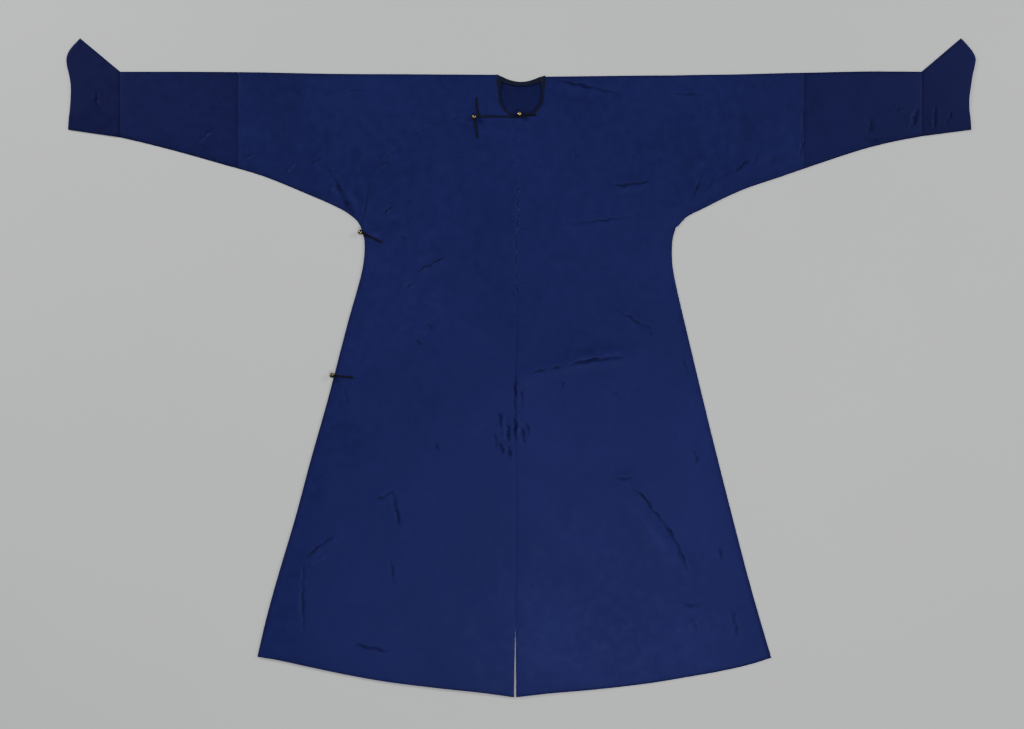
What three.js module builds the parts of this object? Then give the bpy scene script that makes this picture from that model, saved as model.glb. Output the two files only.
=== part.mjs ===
// Informal court robe, buttoned and laid flat with its front up. Millimetres, +Z up.
// The robe lies on the plane z = 0, its neck towards +Y. The wearer's left is on +X.
// Every cloth piece is a wall of even thickness over a grid of cells. A grid runs across the piece in
// columns (from the centre seam outwards) and along it in rows (back hem, shoulder fold, front hem).

import * as THREE from 'three';

// ---- cloth and layers ----
const cloth = 1.5;            // wall of each piece
const seam = 0.3;             // gap between neighbouring pieces
const softRise = 1.2;         // how far a front stands off the layer below, away from its edges
const softReach = 55;         // distance from an edge over which that rise builds up
const backTop = cloth;
const innerTop = 2 * cloth + seam;         // outer face of a front that lies on the back
const outerTop = 3 * cloth + 3 * seam;     // outer face of a front that lies on another front

// ---- whole robe ----
const hemDrop = -757.5;       // lowest point of the hem
const armpitLine = 322;       // height of the armpit corner
const bodySeam = 650;         // distance from the centre to the seam at the sleeve's extension
const cuffSeam = 921;         // distance from the centre to the cuff's seam
const centreTop = -4.5;       // the centre seam leans a little from neck to hem
const centreHem = -13.5;
const ventTop = -600;         // above this the two skirt edges touch, below it they part
const ventWidth = 3.4;
const seamWave = { from: 180, to: 410, length: 62, depth: 1.3 };   // wavy stretch of the centre seam

// ---- neck ----
const neckHalf = 51;          // half width of the neck, at the middle of its binding
const neckTurn = 627;         // height at which the straight sides turn into the half round
const bandHalf = 3.5;         // half width of the binding
const bandWall = 1.8;
const backNeckLow = 652.5;    // height of the binding behind the neck
const backNeckRise = 14;      // how much higher it lies at the shoulders

// ---- overlap's edge and its fastenings ----
const edgeBand = { start: 4.7, end: 99, half: 2.2 };
const ball = { radius: 6, neck: 1.9 };
const strap = { half: 2.4, wall: 1.8, eyeInner: 2.6, eyeOuter: 5.2, tab: 9, edgeSlack: 0.4 };
const fastenings = {
  neck: { x: -4, y: 580, toX: 35, toY: 580.5, lift: 2 * seam },
  chest: { x: -107, y: 574, toX: -101.7, toY: 526, lift: seam },
  armpit: { x: -368, y: 310, toX: -318, toY: 291, lift: seam },
  side: { x: -433.5, y: -18, toX: -385, toY: -24, lift: seam },
};
const chestStrap = { x: -103, y: 578.6, toX: -101.5, toY: 621 };

// Side of the skirt below the armpit: distance of each side edge from x = 0 at a height.
const sideTable = [
  { y: 322, right: 368, left: 356 },
  { y: 293, right: 360, left: 348.5 },
  { y: 247, right: 361, left: 347.5 },
  { y: 201, right: 370, left: 354 },
  { y: 109, right: 396, left: 375 },
  { y: -75, right: 444, left: 419 },
  { y: -213, right: 483, left: 453 },
  { y: -351, right: 520, left: 488 },
  { y: -489, right: 561, left: 524 },
  { y: -581, right: 586, left: 550 },
  { y: -667, right: 606, left: 575.5 },
];

// Under and upper edge of each sleeve at a distance from the centre.
const sleeveTable = [
  { x: 350, underRight: 308, underLeft: 306, topRight: 674.5, topLeft: 671.5 },
  { x: 362, underRight: 319, underLeft: 325, topRight: 674.6, topLeft: 671.8 },
  { x: 380, underRight: 340, underLeft: 345, topRight: 674.8, topLeft: 672.2 },
  { x: 412, underRight: 363, underLeft: 362, topRight: 675, topLeft: 672.8 },
  { x: 504, underRight: 404, underLeft: 406, topRight: 676.5, topLeft: 674 },
  { x: 596, underRight: 441, underLeft: 438, topRight: 678.5, topLeft: 676.5 },
  { x: 692, underRight: 469, underLeft: 471, topRight: 679.5, topLeft: 678.5 },
  { x: 784, underRight: 495, underLeft: 501, topRight: 680, topLeft: 680.5 },
  { x: 853, underRight: 513, underLeft: 518.5, topRight: 680, topLeft: 680.5 },
  { x: 921, underRight: 529, underLeft: 531.5, topRight: 680, topLeft: 680 },
];
const shoulderTop = { right: 673, left: 668.5 };

// Mouth of each cuff from its lower corner to the tip of the hoof.
const mouthTable = [
  { part: 0, y: 546.5, right: 1041, left: 1035 },
  { part: 0.12, y: 571, right: 1039.5, left: 1033 },
  { part: 0.22, y: 592, right: 1037, left: 1030.5 },
  { part: 0.35, y: 620, right: 1035, left: 1030.5 },
  { part: 0.5, y: 651, right: 1035, left: 1034.5 },
  { part: 0.62, y: 676, right: 1039, left: 1038.5 },
  { part: 0.72, y: 697, right: 1043.8, left: 1043.4 },
  { part: 0.8, y: 714, right: 1044.2, left: 1044.2 },
  { part: 0.89, y: 733, right: 1036, left: 1034 },
  { part: 1, y: 757.5, right: 1014, left: 1012 },
];

// Rise of the hem towards each side, by the part of the way from the centre to the side.
const hemTable = [
  { part: 0, right: 0, left: 0 },
  { part: 0.13, right: 10.5, left: 8.5 },
  { part: 0.3, right: 21, left: 17 },
  { part: 0.5, right: 36, left: 30 },
  { part: 0.65, right: 51.5, left: 44 },
  { part: 0.8, right: 70, left: 59.5 },
  { part: 0.92, right: 85.5, left: 75.5 },
  { part: 1, right: 93, left: 90.5 },
];

// Upper edge of the outer overlap, by its distance from the centre.
const overlapTable = [
  { x: 0, y: 577.5 },
  { x: 102, y: 577.5 },
  { x: 158, y: 568 },
  { x: 240, y: 536 },
  { x: 302, y: 499 },
  { x: 346, y: 420 },
  { x: 356, y: 360 },
  { x: 368, y: 326 },
];

// Largest folds of the fronts: a ridge from one point to another, bowed sideways by bend.
const folds = [
  { name: 'waist', x0: 6, y0: -24, x1: 250, y1: 24, bend: 10, width: 30, rise: 1.5 },
  { name: 'left skirt', x0: 238, y0: -255, x1: 384, y1: -462, bend: -16, width: 34, rise: 1.7 },
  { name: 'left chest', x0: 212, y0: 418, x1: 300, y1: 426, bend: 4, width: 30, rise: 1.0 },
  { name: 'left breast', x0: 117, y0: 328, x1: 250, y1: 346, bend: 4, width: 30, rise: 1.0 },
  { name: 'right chest', x0: -270, y0: 180, x1: -170, y1: 258, bend: 6, width: 32, rise: 1.5 },
  { name: 'right armpit', x0: -350, y0: 352, x1: -265, y1: 412, bend: 6, width: 30, rise: 1.1 },
  { name: 'right skirt', x0: -328, y0: -300, x1: -278, y1: -372, bend: 8, width: 32, rise: 1.2 },
  { name: 'right side', x0: -494, y0: -438, x1: -430, y1: -390, bend: 5, width: 28, rise: 1.0 },
  { name: 'left sleeve', x0: 410, y0: 405, x1: 548, y1: 470, bend: 8, width: 32, rise: 1.2 },
  { name: 'right sleeve', x0: -424, y0: 432, x1: -384, y1: 372, bend: 6, width: 30, rise: 1.0 },
];

// ---- small maths ----
const mix = (a, b, t) => a + (b - a) * t;
const clamp01 = (t) => Math.min(1, Math.max(0, t));
const smooth = (t) => clamp01(t) ** 2 * (3 - 2 * clamp01(t));

// Reads one column of a table at a value of its key column, as a smooth curve through the rows.
function readTable(table, key, column, value) {
  const rising = table[table.length - 1][key] > table[0][key];
  const rows = rising ? table : [...table].reverse();
  const last = rows.length - 1;
  const at = Math.min(Math.max(value, rows[0][key]), rows[last][key]);
  let k = 0;
  while (k < last - 1 && at > rows[k + 1][key]) k += 1;
  const slope = (n) => {
    const a = rows[Math.max(n - 1, 0)];
    const b = rows[Math.min(n + 1, last)];
    return (b[column] - a[column]) / (b[key] - a[key]);
  };
  const span = rows[k + 1][key] - rows[k][key];
  const t = (at - rows[k][key]) / span;
  const t2 = t * t;
  const t3 = t2 * t;
  return (2 * t3 - 3 * t2 + 1) * rows[k][column] + (t3 - 2 * t2 + t) * span * slope(k)
    + (3 * t2 - 2 * t3) * rows[k + 1][column] + (t3 - t2) * span * slope(k + 1);
}

// ---- lines of the cut ----
// side is +1 for the wearer's left and -1 for the wearer's right.
function centreAt(y) {
  const lean = mix(centreHem, centreTop, clamp01((y - hemDrop) / (shoulderTop.right - hemDrop)));
  const middle = (seamWave.from + seamWave.to) / 2;
  const near = smooth(1 - Math.abs(y - middle) / (seamWave.to - middle));
  return lean + seamWave.depth * near * Math.sin((2 * Math.PI * y) / seamWave.length);
}

const ventGap = (y) => ventWidth * clamp01((ventTop - y) / (ventTop - hemDrop));
const centreEdge = (side, y) => centreAt(y) + side * (seam + ventGap(y)) / 2;
const sideEdge = (side, y) => side * readTable(sideTable, 'y', side > 0 ? 'left' : 'right', y);
const hemAt = (side, part) => hemDrop + readTable(hemTable, 'part', side > 0 ? 'left' : 'right', part);
const sleeveUnder = (side, x) => readTable(sleeveTable, 'x', side > 0 ? 'underLeft' : 'underRight', x);

function sleeveTop(side, x) {
  const column = side > 0 ? 'topLeft' : 'topRight';
  const start = side > 0 ? shoulderTop.left : shoulderTop.right;
  const first = sleeveTable[0];
  return x < first.x ? mix(start, first[column], smooth(x / first.x)) : readTable(sleeveTable, 'x', column, x);
}

const overlapEdge = (x) => readTable(overlapTable, 'x', 'y', Math.abs(x));

// Lower line of the neck's cut edge at a distance from the centre. Its corners stand out a little,
// so that the straight stretches between them clear the binding.
const neckColumns = 6;
const neckReach = (neckHalf + bandHalf + seam) / Math.cos(Math.PI / (4 * neckColumns));
const neckLine = (x) => neckTurn - Math.sqrt(Math.max(neckReach ** 2 - x ** 2, 0));

const backBandLine = (x) => backNeckLow + backNeckRise * (x / neckHalf) ** 2;

// ---- height of the fronts ----
function edgeDistance(side, x, y) {
  const out = Math.abs(x);
  if (y < armpitLine) {
    const edge = Math.abs(sideEdge(side, y));
    return Math.min(edge - out, y - hemAt(side, clamp01(out / edge)));
  }
  return out < sleeveTable[0].x ? softReach : y - sleeveUnder(side, out);
}

function foldRise(x, y) {
  let rise = 0;
  for (const fold of folds) {
    const dx = fold.x1 - fold.x0;
    const dy = fold.y1 - fold.y0;
    const length = Math.hypot(dx, dy);
    const along = ((x - fold.x0) * dx + (y - fold.y0) * dy) / length ** 2;
    const bow = fold.bend * Math.sin(Math.PI * clamp01(along));
    const across = ((y - fold.y0) * dx - (x - fold.x0) * dy) / length - bow;
    const beyond = Math.max(-along, along - 1, 0) * length;
    const near = smooth(1 - Math.hypot(across, beyond) / fold.width);
    rise += fold.rise * near;
  }
  return rise;
}

// The left front lies highest along the centre seam, where it meets the outer overlap.
function leftLevel(x, y) {
  const out = Math.abs(x - centreAt(y));
  const spread = clamp01((out - 30) / (0.7 * sideTable[0].left));
  const fromShoulder = smooth((shoulderTop.left - 9 - y) / 70);
  return mix(innerTop, outerTop, (1 - smooth(spread)) * fromShoulder);
}

const softness = (side, x, y) => softRise * smooth(edgeDistance(side, x, y) / softReach);
const leftFront = (x, y) => leftLevel(x, y) + softness(1, x, y) + foldRise(x, y);
const overlapFront = (x, y) => outerTop + softness(-1, x, y) + foldRise(x, y);

// The right front carries folds only where it shows, above the overlap's edge.
function rightFront(x, y) {
  const shown = Math.abs(x) > sideTable[0].right ? 1 : smooth((y - overlapEdge(x)) / 40);
  const bare = y > armpitLine ? shown : 0;
  return innerTop + 0.5 * softness(-1, x, y) + foldRise(x, y) * bare;
}

// ---- walls from grids ----
// columns and rows count the cells. has(i, j) says which cells are cloth. outer(i, j) and inner(i, j)
// give the corners of the two faces. Where outer runs clockwise seen from outside, flip is true.
function wall(columns, rows, has, outer, inner, flip) {
  const position = [];
  const index = new Map();
  const triangles = [];
  const corner = (i, j, face) => {
    const key = `${i},${j},${face}`;
    if (!index.has(key)) {
      index.set(key, position.length / 3);
      position.push(...(face ? outer : inner)(i, j));
    }
    return index.get(key);
  };
  const quad = (a, b, c, d) => triangles.push(...(flip ? [a, c, b, a, d, c] : [a, b, c, a, c, d]));
  const filled = (i, j) => i >= 0 && j >= 0 && i < columns && j < rows && has(i, j);
  for (let i = 0; i < columns; i += 1) {
    for (let j = 0; j < rows; j += 1) {
      if (!filled(i, j)) continue;
      const ring = [[i, j], [i + 1, j], [i + 1, j + 1], [i, j + 1]];
      const beside = [[i, j - 1], [i + 1, j], [i, j + 1], [i - 1, j]];
      quad(...ring.map(([p, q]) => corner(p, q, 1)));
      quad(...ring.map(([p, q]) => corner(p, q, 0)).reverse());
      for (let n = 0; n < 4; n += 1) {
        if (filled(...beside[n])) continue;
        const from = ring[n];
        const to = ring[(n + 1) % 4];
        quad(corner(...from, 0), corner(...to, 0), corner(...to, 1), corner(...from, 1));
      }
    }
  }
  const geometry = new THREE.BufferGeometry();
  geometry.setAttribute('position', new THREE.Float32BufferAttribute(position, 3));
  geometry.setIndex(triangles);
  geometry.computeVertexNormals();
  return geometry;
}

const evenParts = (from, to, count) => Array.from({ length: count + 1 }, (_, k) => mix(from, to, k / count));
const foldRoot = 2.3;          // the fold's root lies this far below the piece's upper line
const foldSteps = 4;

// A panel folded along its top: back rows, a round fold, then front rows.
// plan(i, part, layer) gives x and y, where part runs from 0 at the lower edge to 1 at the fold.
function foldedWall({ columns, backParts, frontParts, has, plan, front, side }) {
  const backRows = backParts.length - 1;
  const rows = backRows + foldSteps + frontParts.length - 1;
  const place = (i, j, face) => {
    if (j < backRows) {
      const [x, y] = plan(i, backParts[j], 'back');
      return [x, y, face ? 0 : backTop];
    }
    if (j > backRows + foldSteps) {
      const [x, y] = plan(i, frontParts[rows - j], 'front');
      const top = front(x, y);
      return [x, y, face ? top : top - cloth];
    }
    const [x, y] = plan(i, 1, j === backRows ? 'back' : 'front');
    const radius = front(x, y) / 2;
    const turn = (Math.PI * (j - backRows)) / foldSteps;
    const bulge = face ? radius : radius - cloth;
    return [x, y + bulge * Math.sin(turn), radius - bulge * Math.cos(turn)];
  };
  const outer = (i, j) => place(i, j, 1);
  const inner = (i, j) => place(i, j, 0);
  return wall(columns, rows, has, outer, inner, side > 0);
}

// ---- body pieces ----
// Columns run over the neck, the chest and the sleeve. Parts below 0 are the skirt, from -1 at the
// hem to 0 at the armpit, and parts above 0 run from the armpit's height up to the shoulder.
const sleeveColumns = 6;
const nearArmpit = [-0.15, -0.09, -0.05, -0.02];
const plainSkirt = [-1, -0.8, -0.6, -0.4, -0.25, ...nearArmpit, 0];
const foldedSkirt = [...evenParts(-1, -0.19, 22), ...nearArmpit, 0];

function bodyPiece(side, chestColumns, frontSkirt, chestRows) {
  const armColumn = neckColumns + chestColumns;
  const columns = armColumn + sleeveColumns;
  const armpitX = Math.abs(sideEdge(side, armpitLine));
  const centre = side * centreEdge(side, armpitLine);
  const neckTop = sleeveTop(side, neckReach) - foldRoot;
  const neckPart = (neckTurn - armpitLine) / (neckTop - armpitLine);
  const columnX = (i) => {
    if (i <= neckColumns) return mix(centre, neckReach, Math.sin((Math.PI / 2) * (i / neckColumns)));
    if (i <= armColumn) return mix(neckReach, armpitX, (i - neckColumns) / chestColumns);
    return mix(armpitX, bodySeam - seam / 2, (i - armColumn) / sleeveColumns);
  };
  const skirtPoint = (i, part) => {
    const out = (columnX(i) - centre) / (armpitX - centre);
    const y = mix(armpitLine, hemAt(side, out), -part);
    return [mix(centreEdge(side, y), sideEdge(side, y), out), y];
  };
  const upperPoint = (i, part, layer) => {
    const out = columnX(i);
    const low = i > armColumn ? sleeveUnder(side, out) : armpitLine;
    const fold = sleeveTop(side, out) - foldRoot;
    let x = out;
    let y = mix(low, fold, part);
    if (i < neckColumns && layer === 'back') y = mix(low, backBandLine(x) + bandHalf - seam, part);
    if (i < neckColumns && layer === 'front') y = mix(low, neckLine(x), part / neckPart);
    if (i === 0) x = side * centreEdge(side, y);
    return [side * x, y];
  };
  const plan = (i, part, layer) => (part < 0 ? skirtPoint(i, part) : upperPoint(i, part, layer));
  const backParts = [...plainSkirt, 0.4, neckPart, 1];
  const upper = [...evenParts(0, neckPart, chestRows).slice(1), mix(neckPart, 1, 0.5), 1];
  const frontParts = [...frontSkirt, ...upper];
  const backRows = backParts.length - 1;
  const frontRows = frontParts.length - 1;
  const has = (i, j) => {
    const up = j < backRows ? backParts[j] : frontParts[backRows + foldSteps + frontRows - 1 - j];
    const inFold = j >= backRows && j < backRows + foldSteps;
    if (inFold) return i >= neckColumns;
    if (i >= armColumn) return up >= 0;
    return j < backRows || i >= neckColumns || up < neckPart - 1e-6;
  };
  const front = side > 0 ? leftFront : rightFront;
  return foldedWall({ columns, backParts, frontParts, has, plan, front, side });
}

// ---- outer overlap ----
function overlapPiece(columns, chestRows) {
  const side = -1;
  const skirtRows = foldedSkirt.length - 1;
  const armpitX = Math.abs(sideEdge(side, armpitLine));
  const centre = side * centreEdge(side, armpitLine);
  const point = (i, j) => {
    const out = i / columns;
    if (j <= skirtRows) {
      const y = mix(armpitLine, hemAt(side, out), -foldedSkirt[j]);
      return [mix(centreEdge(side, y), sideEdge(side, y), out), y];
    }
    const x = mix(centre, armpitX, out);
    const top = i === 0 ? overlapEdge(0) : overlapEdge(x);
    const band = x < edgeBand.end + 1 ? 2 * edgeBand.half + seam : 0;
    const y = mix(armpitLine, top - band, (j - skirtRows) / chestRows);
    return [i === 0 ? centreEdge(side, y) : side * x, y];
  };
  const outer = (i, j) => {
    const [x, y] = point(i, j);
    return [x, y, overlapFront(x, y)];
  };
  const inner = (i, j) => {
    const [x, y] = point(i, j);
    return [x, y, overlapFront(x, y) - cloth];
  };
  return wall(columns, skirtRows + chestRows, () => true, outer, inner, true);
}

// ---- sleeves' extensions and cuffs ----
const sleeveParts = [0, 0.06, 0.2, 0.4, 0.6, 0.8, 1];
const cuffParts = [0, 0.05, 0.12, 0.22, 0.35, 0.5, 0.62, 0.72, 0.8, 0.89, 1];
const tubeFront = (side) => (x, y) => {
  const soft = smooth((y - sleeveUnder(side, Math.abs(x))) / softReach);
  return innerTop + softRise * soft * (side > 0 ? 1 : 0.5) + foldRise(x, y);
};

function tubePiece(side, columns, parts, plan) {
  const rows = { backParts: parts, frontParts: parts };
  return foldedWall({ columns, ...rows, has: () => true, plan, front: tubeFront(side), side });
}

function sleevePiece(side) {
  const columns = 6;
  const plan = (i, part) => {
    const x = mix(bodySeam + seam / 2, cuffSeam - seam / 2, i / columns);
    return [side * x, mix(sleeveUnder(side, x), sleeveTop(side, x) - foldRoot, part)];
  };
  return tubePiece(side, columns, sleeveParts, plan);
}

function cuffPiece(side) {
  const columns = 5;
  const root = cuffSeam + seam / 2;
  const plan = (i, part) => {
    const t = i / columns;
    const fromY = mix(sleeveUnder(side, cuffSeam), sleeveTop(side, cuffSeam) - foldRoot, part);
    const toX = readTable(mouthTable, 'part', side > 0 ? 'left' : 'right', part);
    const toY = readTable(mouthTable, 'part', 'y', part) - foldRoot * part;
    return [side * mix(root, toX, t), mix(fromY, toY, t)];
  };
  return tubePiece(side, columns, cuffParts, plan);
}

// ---- bands laid along a path ----
// path is a list of { x, y, z } for the middle of the band's under side. At a sharp turn the inner
// side is mitred and the outer side is blunted.
function bandPiece(path, half, thick) {
  const rows = path.length - 1;
  const heading = (j) => {
    const a = path[Math.max(Math.min(j, rows - 1), 0)];
    const b = path[Math.max(Math.min(j, rows - 1), 0) + 1];
    const length = Math.hypot(b.x - a.x, b.y - a.y);
    return [(b.x - a.x) / length, (b.y - a.y) / length];
  };
  const place = (i, j, lift) => {
    const [ax, ay] = heading(j - 1);
    const [bx, by] = heading(j);
    const length = Math.hypot(ax + bx, ay + by);
    const [nx, ny] = [(ay + by) / length, -(ax + bx) / length];
    const stretch = 1 / (nx * ay - ny * ax);
    const turnsRight = ax * by - ay * bx < 0;
    const inside = i - 1 > 0 === turnsRight;
    const out = (i - 1) * half * (inside ? stretch : Math.min(stretch, 1.1));
    const { x, y, z } = path[j];
    return [x + nx * out, y + ny * out, z + lift];
  };
  const crown = (i) => (i === 1 ? thick : 0.75 * thick);
  return wall(2, rows, () => true, (i, j) => place(i, j, crown(i)), (i, j) => place(i, j, 0), false);
}

// The neck's binding starts beside the overlap's corner, runs up the right side, behind the neck
// and down the left side to the centre. Beside a front it lies in line with the front's wall, and
// behind the neck it lies on the back.
function neckBinding() {
  const path = [];
  const arcSteps = 8;
  const backSteps = 8;
  const rightTurn = 0.19;      // where the half round begins and ends, from the lowest point
  const leftTurn = -0.08;
  const cornerIn = 7;
  const put = (x, y, z) => path.push({ x, y, z });
  const underRight = (x, y) => rightFront(x, y) - cloth;
  const underLeft = (x, y) => leftFront(x, y) - cloth;
  const onBack = backTop + seam;
  for (let k = 0; k <= arcSteps; k += 1) {
    const turn = mix(rightTurn, Math.PI / 2, k / arcSteps);
    const [x, y] = [-neckHalf * Math.sin(turn), neckTurn - neckHalf * Math.cos(turn)];
    put(x, y, underRight(x, y));
  }
  put(-neckHalf, 645, underRight(-neckHalf, 645));
  put(-neckHalf, 661, underRight(-neckHalf, 661));
  put(-neckHalf + 1.5, 667, mix(underRight(-neckHalf, 667), onBack, 0.5));
  for (let k = 0; k <= backSteps; k += 1) {
    const x = mix(-neckHalf + cornerIn, neckHalf - cornerIn, k / backSteps);
    put(x, backBandLine(x), onBack);
  }
  put(neckHalf - 1.5, 667, mix(underLeft(neckHalf, 667), onBack, 0.5));
  put(neckHalf, 661, underLeft(neckHalf, 661));
  put(neckHalf, 645, underLeft(neckHalf, 645));
  for (let k = arcSteps; k >= 0; k -= 1) {
    const turn = mix(leftTurn, Math.PI / 2, k / arcSteps);
    const [x, y] = [neckHalf * Math.sin(turn), neckTurn - neckHalf * Math.cos(turn)];
    put(x, y, underLeft(x, y));
  }
  return bandPiece(path, bandHalf, bandWall);
}

function overlapBinding() {
  const steps = 8;
  const path = [];
  for (let k = 0; k <= steps; k += 1) {
    const x = -mix(edgeBand.start, edgeBand.end, k / steps);
    const y = overlapEdge(x) - edgeBand.half;
    path.push({ x, y, z: overlapFront(x, y) - cloth });
  }
  return bandPiece(path, edgeBand.half, bandWall);
}

// ---- fastenings ----
// A flat strap from (x, y) to (toX, toY), draped on a height function. With an eye, the strap
// starts as a ring round (x, y).
function strapPiece({ x, y, toX, toY }, floor, eye) {
  const length = Math.hypot(toX - x, toY - y);
  const [ux, uy] = [(toX - x) / length, (toY - y) / length];
  const outline = [];
  const sideSteps = Math.max(2, Math.round(length / 9));
  const roundSteps = 6;
  const startTurn = eye ? Math.asin(strap.half / strap.eyeOuter) : Math.PI / 2;
  const startRadius = eye ? strap.eyeOuter : strap.half;
  const startAlong = startRadius * Math.cos(startTurn);
  const startSteps = eye ? 14 : roundSteps;
  for (let k = 0; k < startSteps; k += 1) {
    const turn = mix(startTurn, 2 * Math.PI - startTurn, k / startSteps);
    outline.push(new THREE.Vector2(startRadius * Math.cos(turn), startRadius * Math.sin(turn)));
  }
  const straight = (k) => mix(startAlong, length - strap.half, k / sideSteps);
  for (let k = 0; k < sideSteps; k += 1) outline.push(new THREE.Vector2(straight(k), -strap.half));
  for (let k = 0; k < roundSteps; k += 1) {
    const turn = mix(-Math.PI / 2, Math.PI / 2, k / roundSteps);
    const along = length - strap.half + strap.half * Math.cos(turn);
    outline.push(new THREE.Vector2(along, strap.half * Math.sin(turn)));
  }
  for (let k = sideSteps; k > 0; k -= 1) outline.push(new THREE.Vector2(straight(k), strap.half));
  const shape = new THREE.Shape(outline);
  if (eye) shape.holes.push(new THREE.Path().absarc(0, 0, strap.eyeInner, 0, 2 * Math.PI, true));
  const solid = { depth: strap.wall, bevelEnabled: false, curveSegments: 5 };
  const geometry = new THREE.ExtrudeGeometry(shape, solid);
  const place = geometry.attributes.position;
  for (let k = 0; k < place.count; k += 1) {
    const [along, across, up] = [place.getX(k), place.getY(k), place.getZ(k)];
    const px = x + ux * along - uy * across;
    const py = y + uy * along + ux * across;
    place.setXYZ(k, px, py, floor(px, py) + up);
  }
  return geometry;
}

// A ball on a short neck, turned about its own axis. The neck runs from bottom to the ball's seat.
function buttonPiece(x, y, bottom, seat) {
  const start = Math.asin(ball.neck / ball.radius);
  const middle = seat - bottom + ball.radius * Math.cos(start);
  const steps = 7;
  const profile = [new THREE.Vector2(0, 0), new THREE.Vector2(ball.neck, 0)];
  for (let k = 0; k < steps; k += 1) {
    const turn = mix(Math.PI - start, 0, k / steps);
    profile.push(new THREE.Vector2(ball.radius * Math.sin(turn), middle + ball.radius * Math.cos(turn)));
  }
  profile.push(new THREE.Vector2(0, middle + ball.radius));
  const geometry = new THREE.LatheGeometry(profile, 14);
  geometry.rotateX(Math.PI / 2);
  geometry.translate(x, y, bottom);
  return geometry;
}

// ---- colours and assembly ----
const silk = { color: 0x18234f, roughness: 0.62, metalness: 0 };
const plainSilk = { color: 0x171f47, roughness: 0.66, metalness: 0 };
const cuffSilk = { color: 0x161d42, roughness: 0.66, metalness: 0 };
const binding = { color: 0x0d1016, roughness: 0.7, metalness: 0 };
const brass = { color: 0xb49a4c, roughness: 0.3, metalness: 1 };

const robe = new THREE.Group();
robe.name = 'informal_court_robe';

function add(name, geometry, look) {
  const mesh = new THREE.Mesh(geometry, new THREE.MeshStandardMaterial({ ...look, side: THREE.DoubleSide }));
  mesh.name = name;
  robe.add(mesh);
}

add('body_left', bodyPiece(1, 10, foldedSkirt, 6), silk);
add('body_right', bodyPiece(-1, 10, plainSkirt, 6), silk);
add('front_overlap', overlapPiece(12, 7), silk);
add('sleeve_left', sleevePiece(1), plainSilk);
add('sleeve_right', sleevePiece(-1), plainSilk);
add('cuff_left', cuffPiece(1), cuffSilk);
add('cuff_right', cuffPiece(-1), cuffSilk);
add('neck_binding', neckBinding(), binding);
add('overlap_binding', overlapBinding(), binding);

// The neck's loop lies on the left front, and the other loops lie on the overlap.
const tabFloor = backTop + seam;
for (const [name, place] of Object.entries(fastenings)) {
  const front = name === 'neck' ? leftFront : overlapFront;
  const floor = (x, y) => front(x, y) + place.lift;
  const atEdge = name === 'armpit' || name === 'side';
  const seat = floor(place.x, place.y) + strap.wall + seam;
  const onCloth = front(place.x, place.y) + place.lift;
  const onTab = tabFloor + strap.wall + seam;
  add(`${name}_loop`, strapPiece(place, floor, true), binding);
  add(`${name}_button`, buttonPiece(place.x, place.y, atEdge ? onTab : onCloth, seat), brass);
  if (atEdge) {
    // A short tab beside the edges of the back and the inner front carries the button.
    const edges = [place.y - strap.half, place.y + strap.half].map((y) => sideEdge(-1, y));
    const edge = Math.min(...edges) - seam - strap.edgeSlack;
    const tab = { x: edge - strap.tab + strap.half, y: place.y, toX: edge, toY: place.y };
    add(`${name}_strap`, strapPiece(tab, () => tabFloor, false), binding);
  }
}
add('chest_strap', strapPiece(chestStrap, (x, y) => rightFront(x, y) + seam, false), binding);

export default robe;
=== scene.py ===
import math

import bmesh
import bpy
import numpy as np
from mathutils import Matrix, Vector


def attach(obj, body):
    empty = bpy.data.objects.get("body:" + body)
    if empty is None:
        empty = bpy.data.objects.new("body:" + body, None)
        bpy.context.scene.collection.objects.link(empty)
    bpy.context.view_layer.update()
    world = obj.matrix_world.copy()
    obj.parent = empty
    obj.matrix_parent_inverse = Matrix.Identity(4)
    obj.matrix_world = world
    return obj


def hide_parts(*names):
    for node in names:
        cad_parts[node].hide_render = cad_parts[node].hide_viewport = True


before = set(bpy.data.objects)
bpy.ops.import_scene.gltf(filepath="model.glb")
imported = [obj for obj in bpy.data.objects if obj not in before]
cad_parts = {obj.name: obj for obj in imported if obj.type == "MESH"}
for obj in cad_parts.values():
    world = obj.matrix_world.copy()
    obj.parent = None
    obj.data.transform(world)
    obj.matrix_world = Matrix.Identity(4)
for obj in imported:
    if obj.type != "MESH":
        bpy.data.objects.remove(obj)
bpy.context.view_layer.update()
toMetres = 0.001                     # the sizes below are millimetres, as the robe was measured


# camera: straight above the laid robe, neck at the top
cameraView = {"lens": 50.0, "sensor": 36.0, "frameWidth": 2355.0, "centre": (-20.7, 6.9)}


def makeCamera(s):
    data = bpy.data.cameras.new("camera")
    data.lens = s["lens"]
    data.sensor_width = s["sensor"]
    data.clip_end = 50.0
    camera = bpy.data.objects.new("camera", data)
    height = s["frameWidth"] * s["lens"] / s["sensor"]
    camera.location = Vector((*s["centre"], height)) * toMetres
    bpy.context.scene.collection.objects.link(camera)
    bpy.context.scene.camera = camera


makeCamera(cameraView)


# the robe's cut, as in its solids
robe = {
    "wall": 1.5, "seam": 0.3, "softRise": 1.2, "softReach": 55.0,
    "hemDrop": -757.5, "armpitLine": 322.0, "bodySeam": 650.0, "cuffSeam": 921.0,
    "centreTop": -4.5, "centreHem": -13.5, "ventTop": -600.0,
    "waveFrom": 180.0, "waveTo": 410.0, "waveLength": 62.0, "waveDepth": 1.3,
    "neckHalf": 51.0, "neckTurn": 627.0, "bandHalf": 3.5, "backNeckLow": 652.5, "backNeckRise": 14.0,
    "foldRoot": 2.3, "shoulderRight": 673.0, "shoulderLeft": 668.5,
}
innerTop = 2 * robe["wall"] + robe["seam"]           # outer face of a front that lies on the back
outerTop = 3 * robe["wall"] + 3 * robe["seam"]       # outer face of a front that lies on another front
silkWall = 0.75                                       # the silk itself, with its turned edges
seamGap = 0.08                                        # sewn edges all but meet
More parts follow.
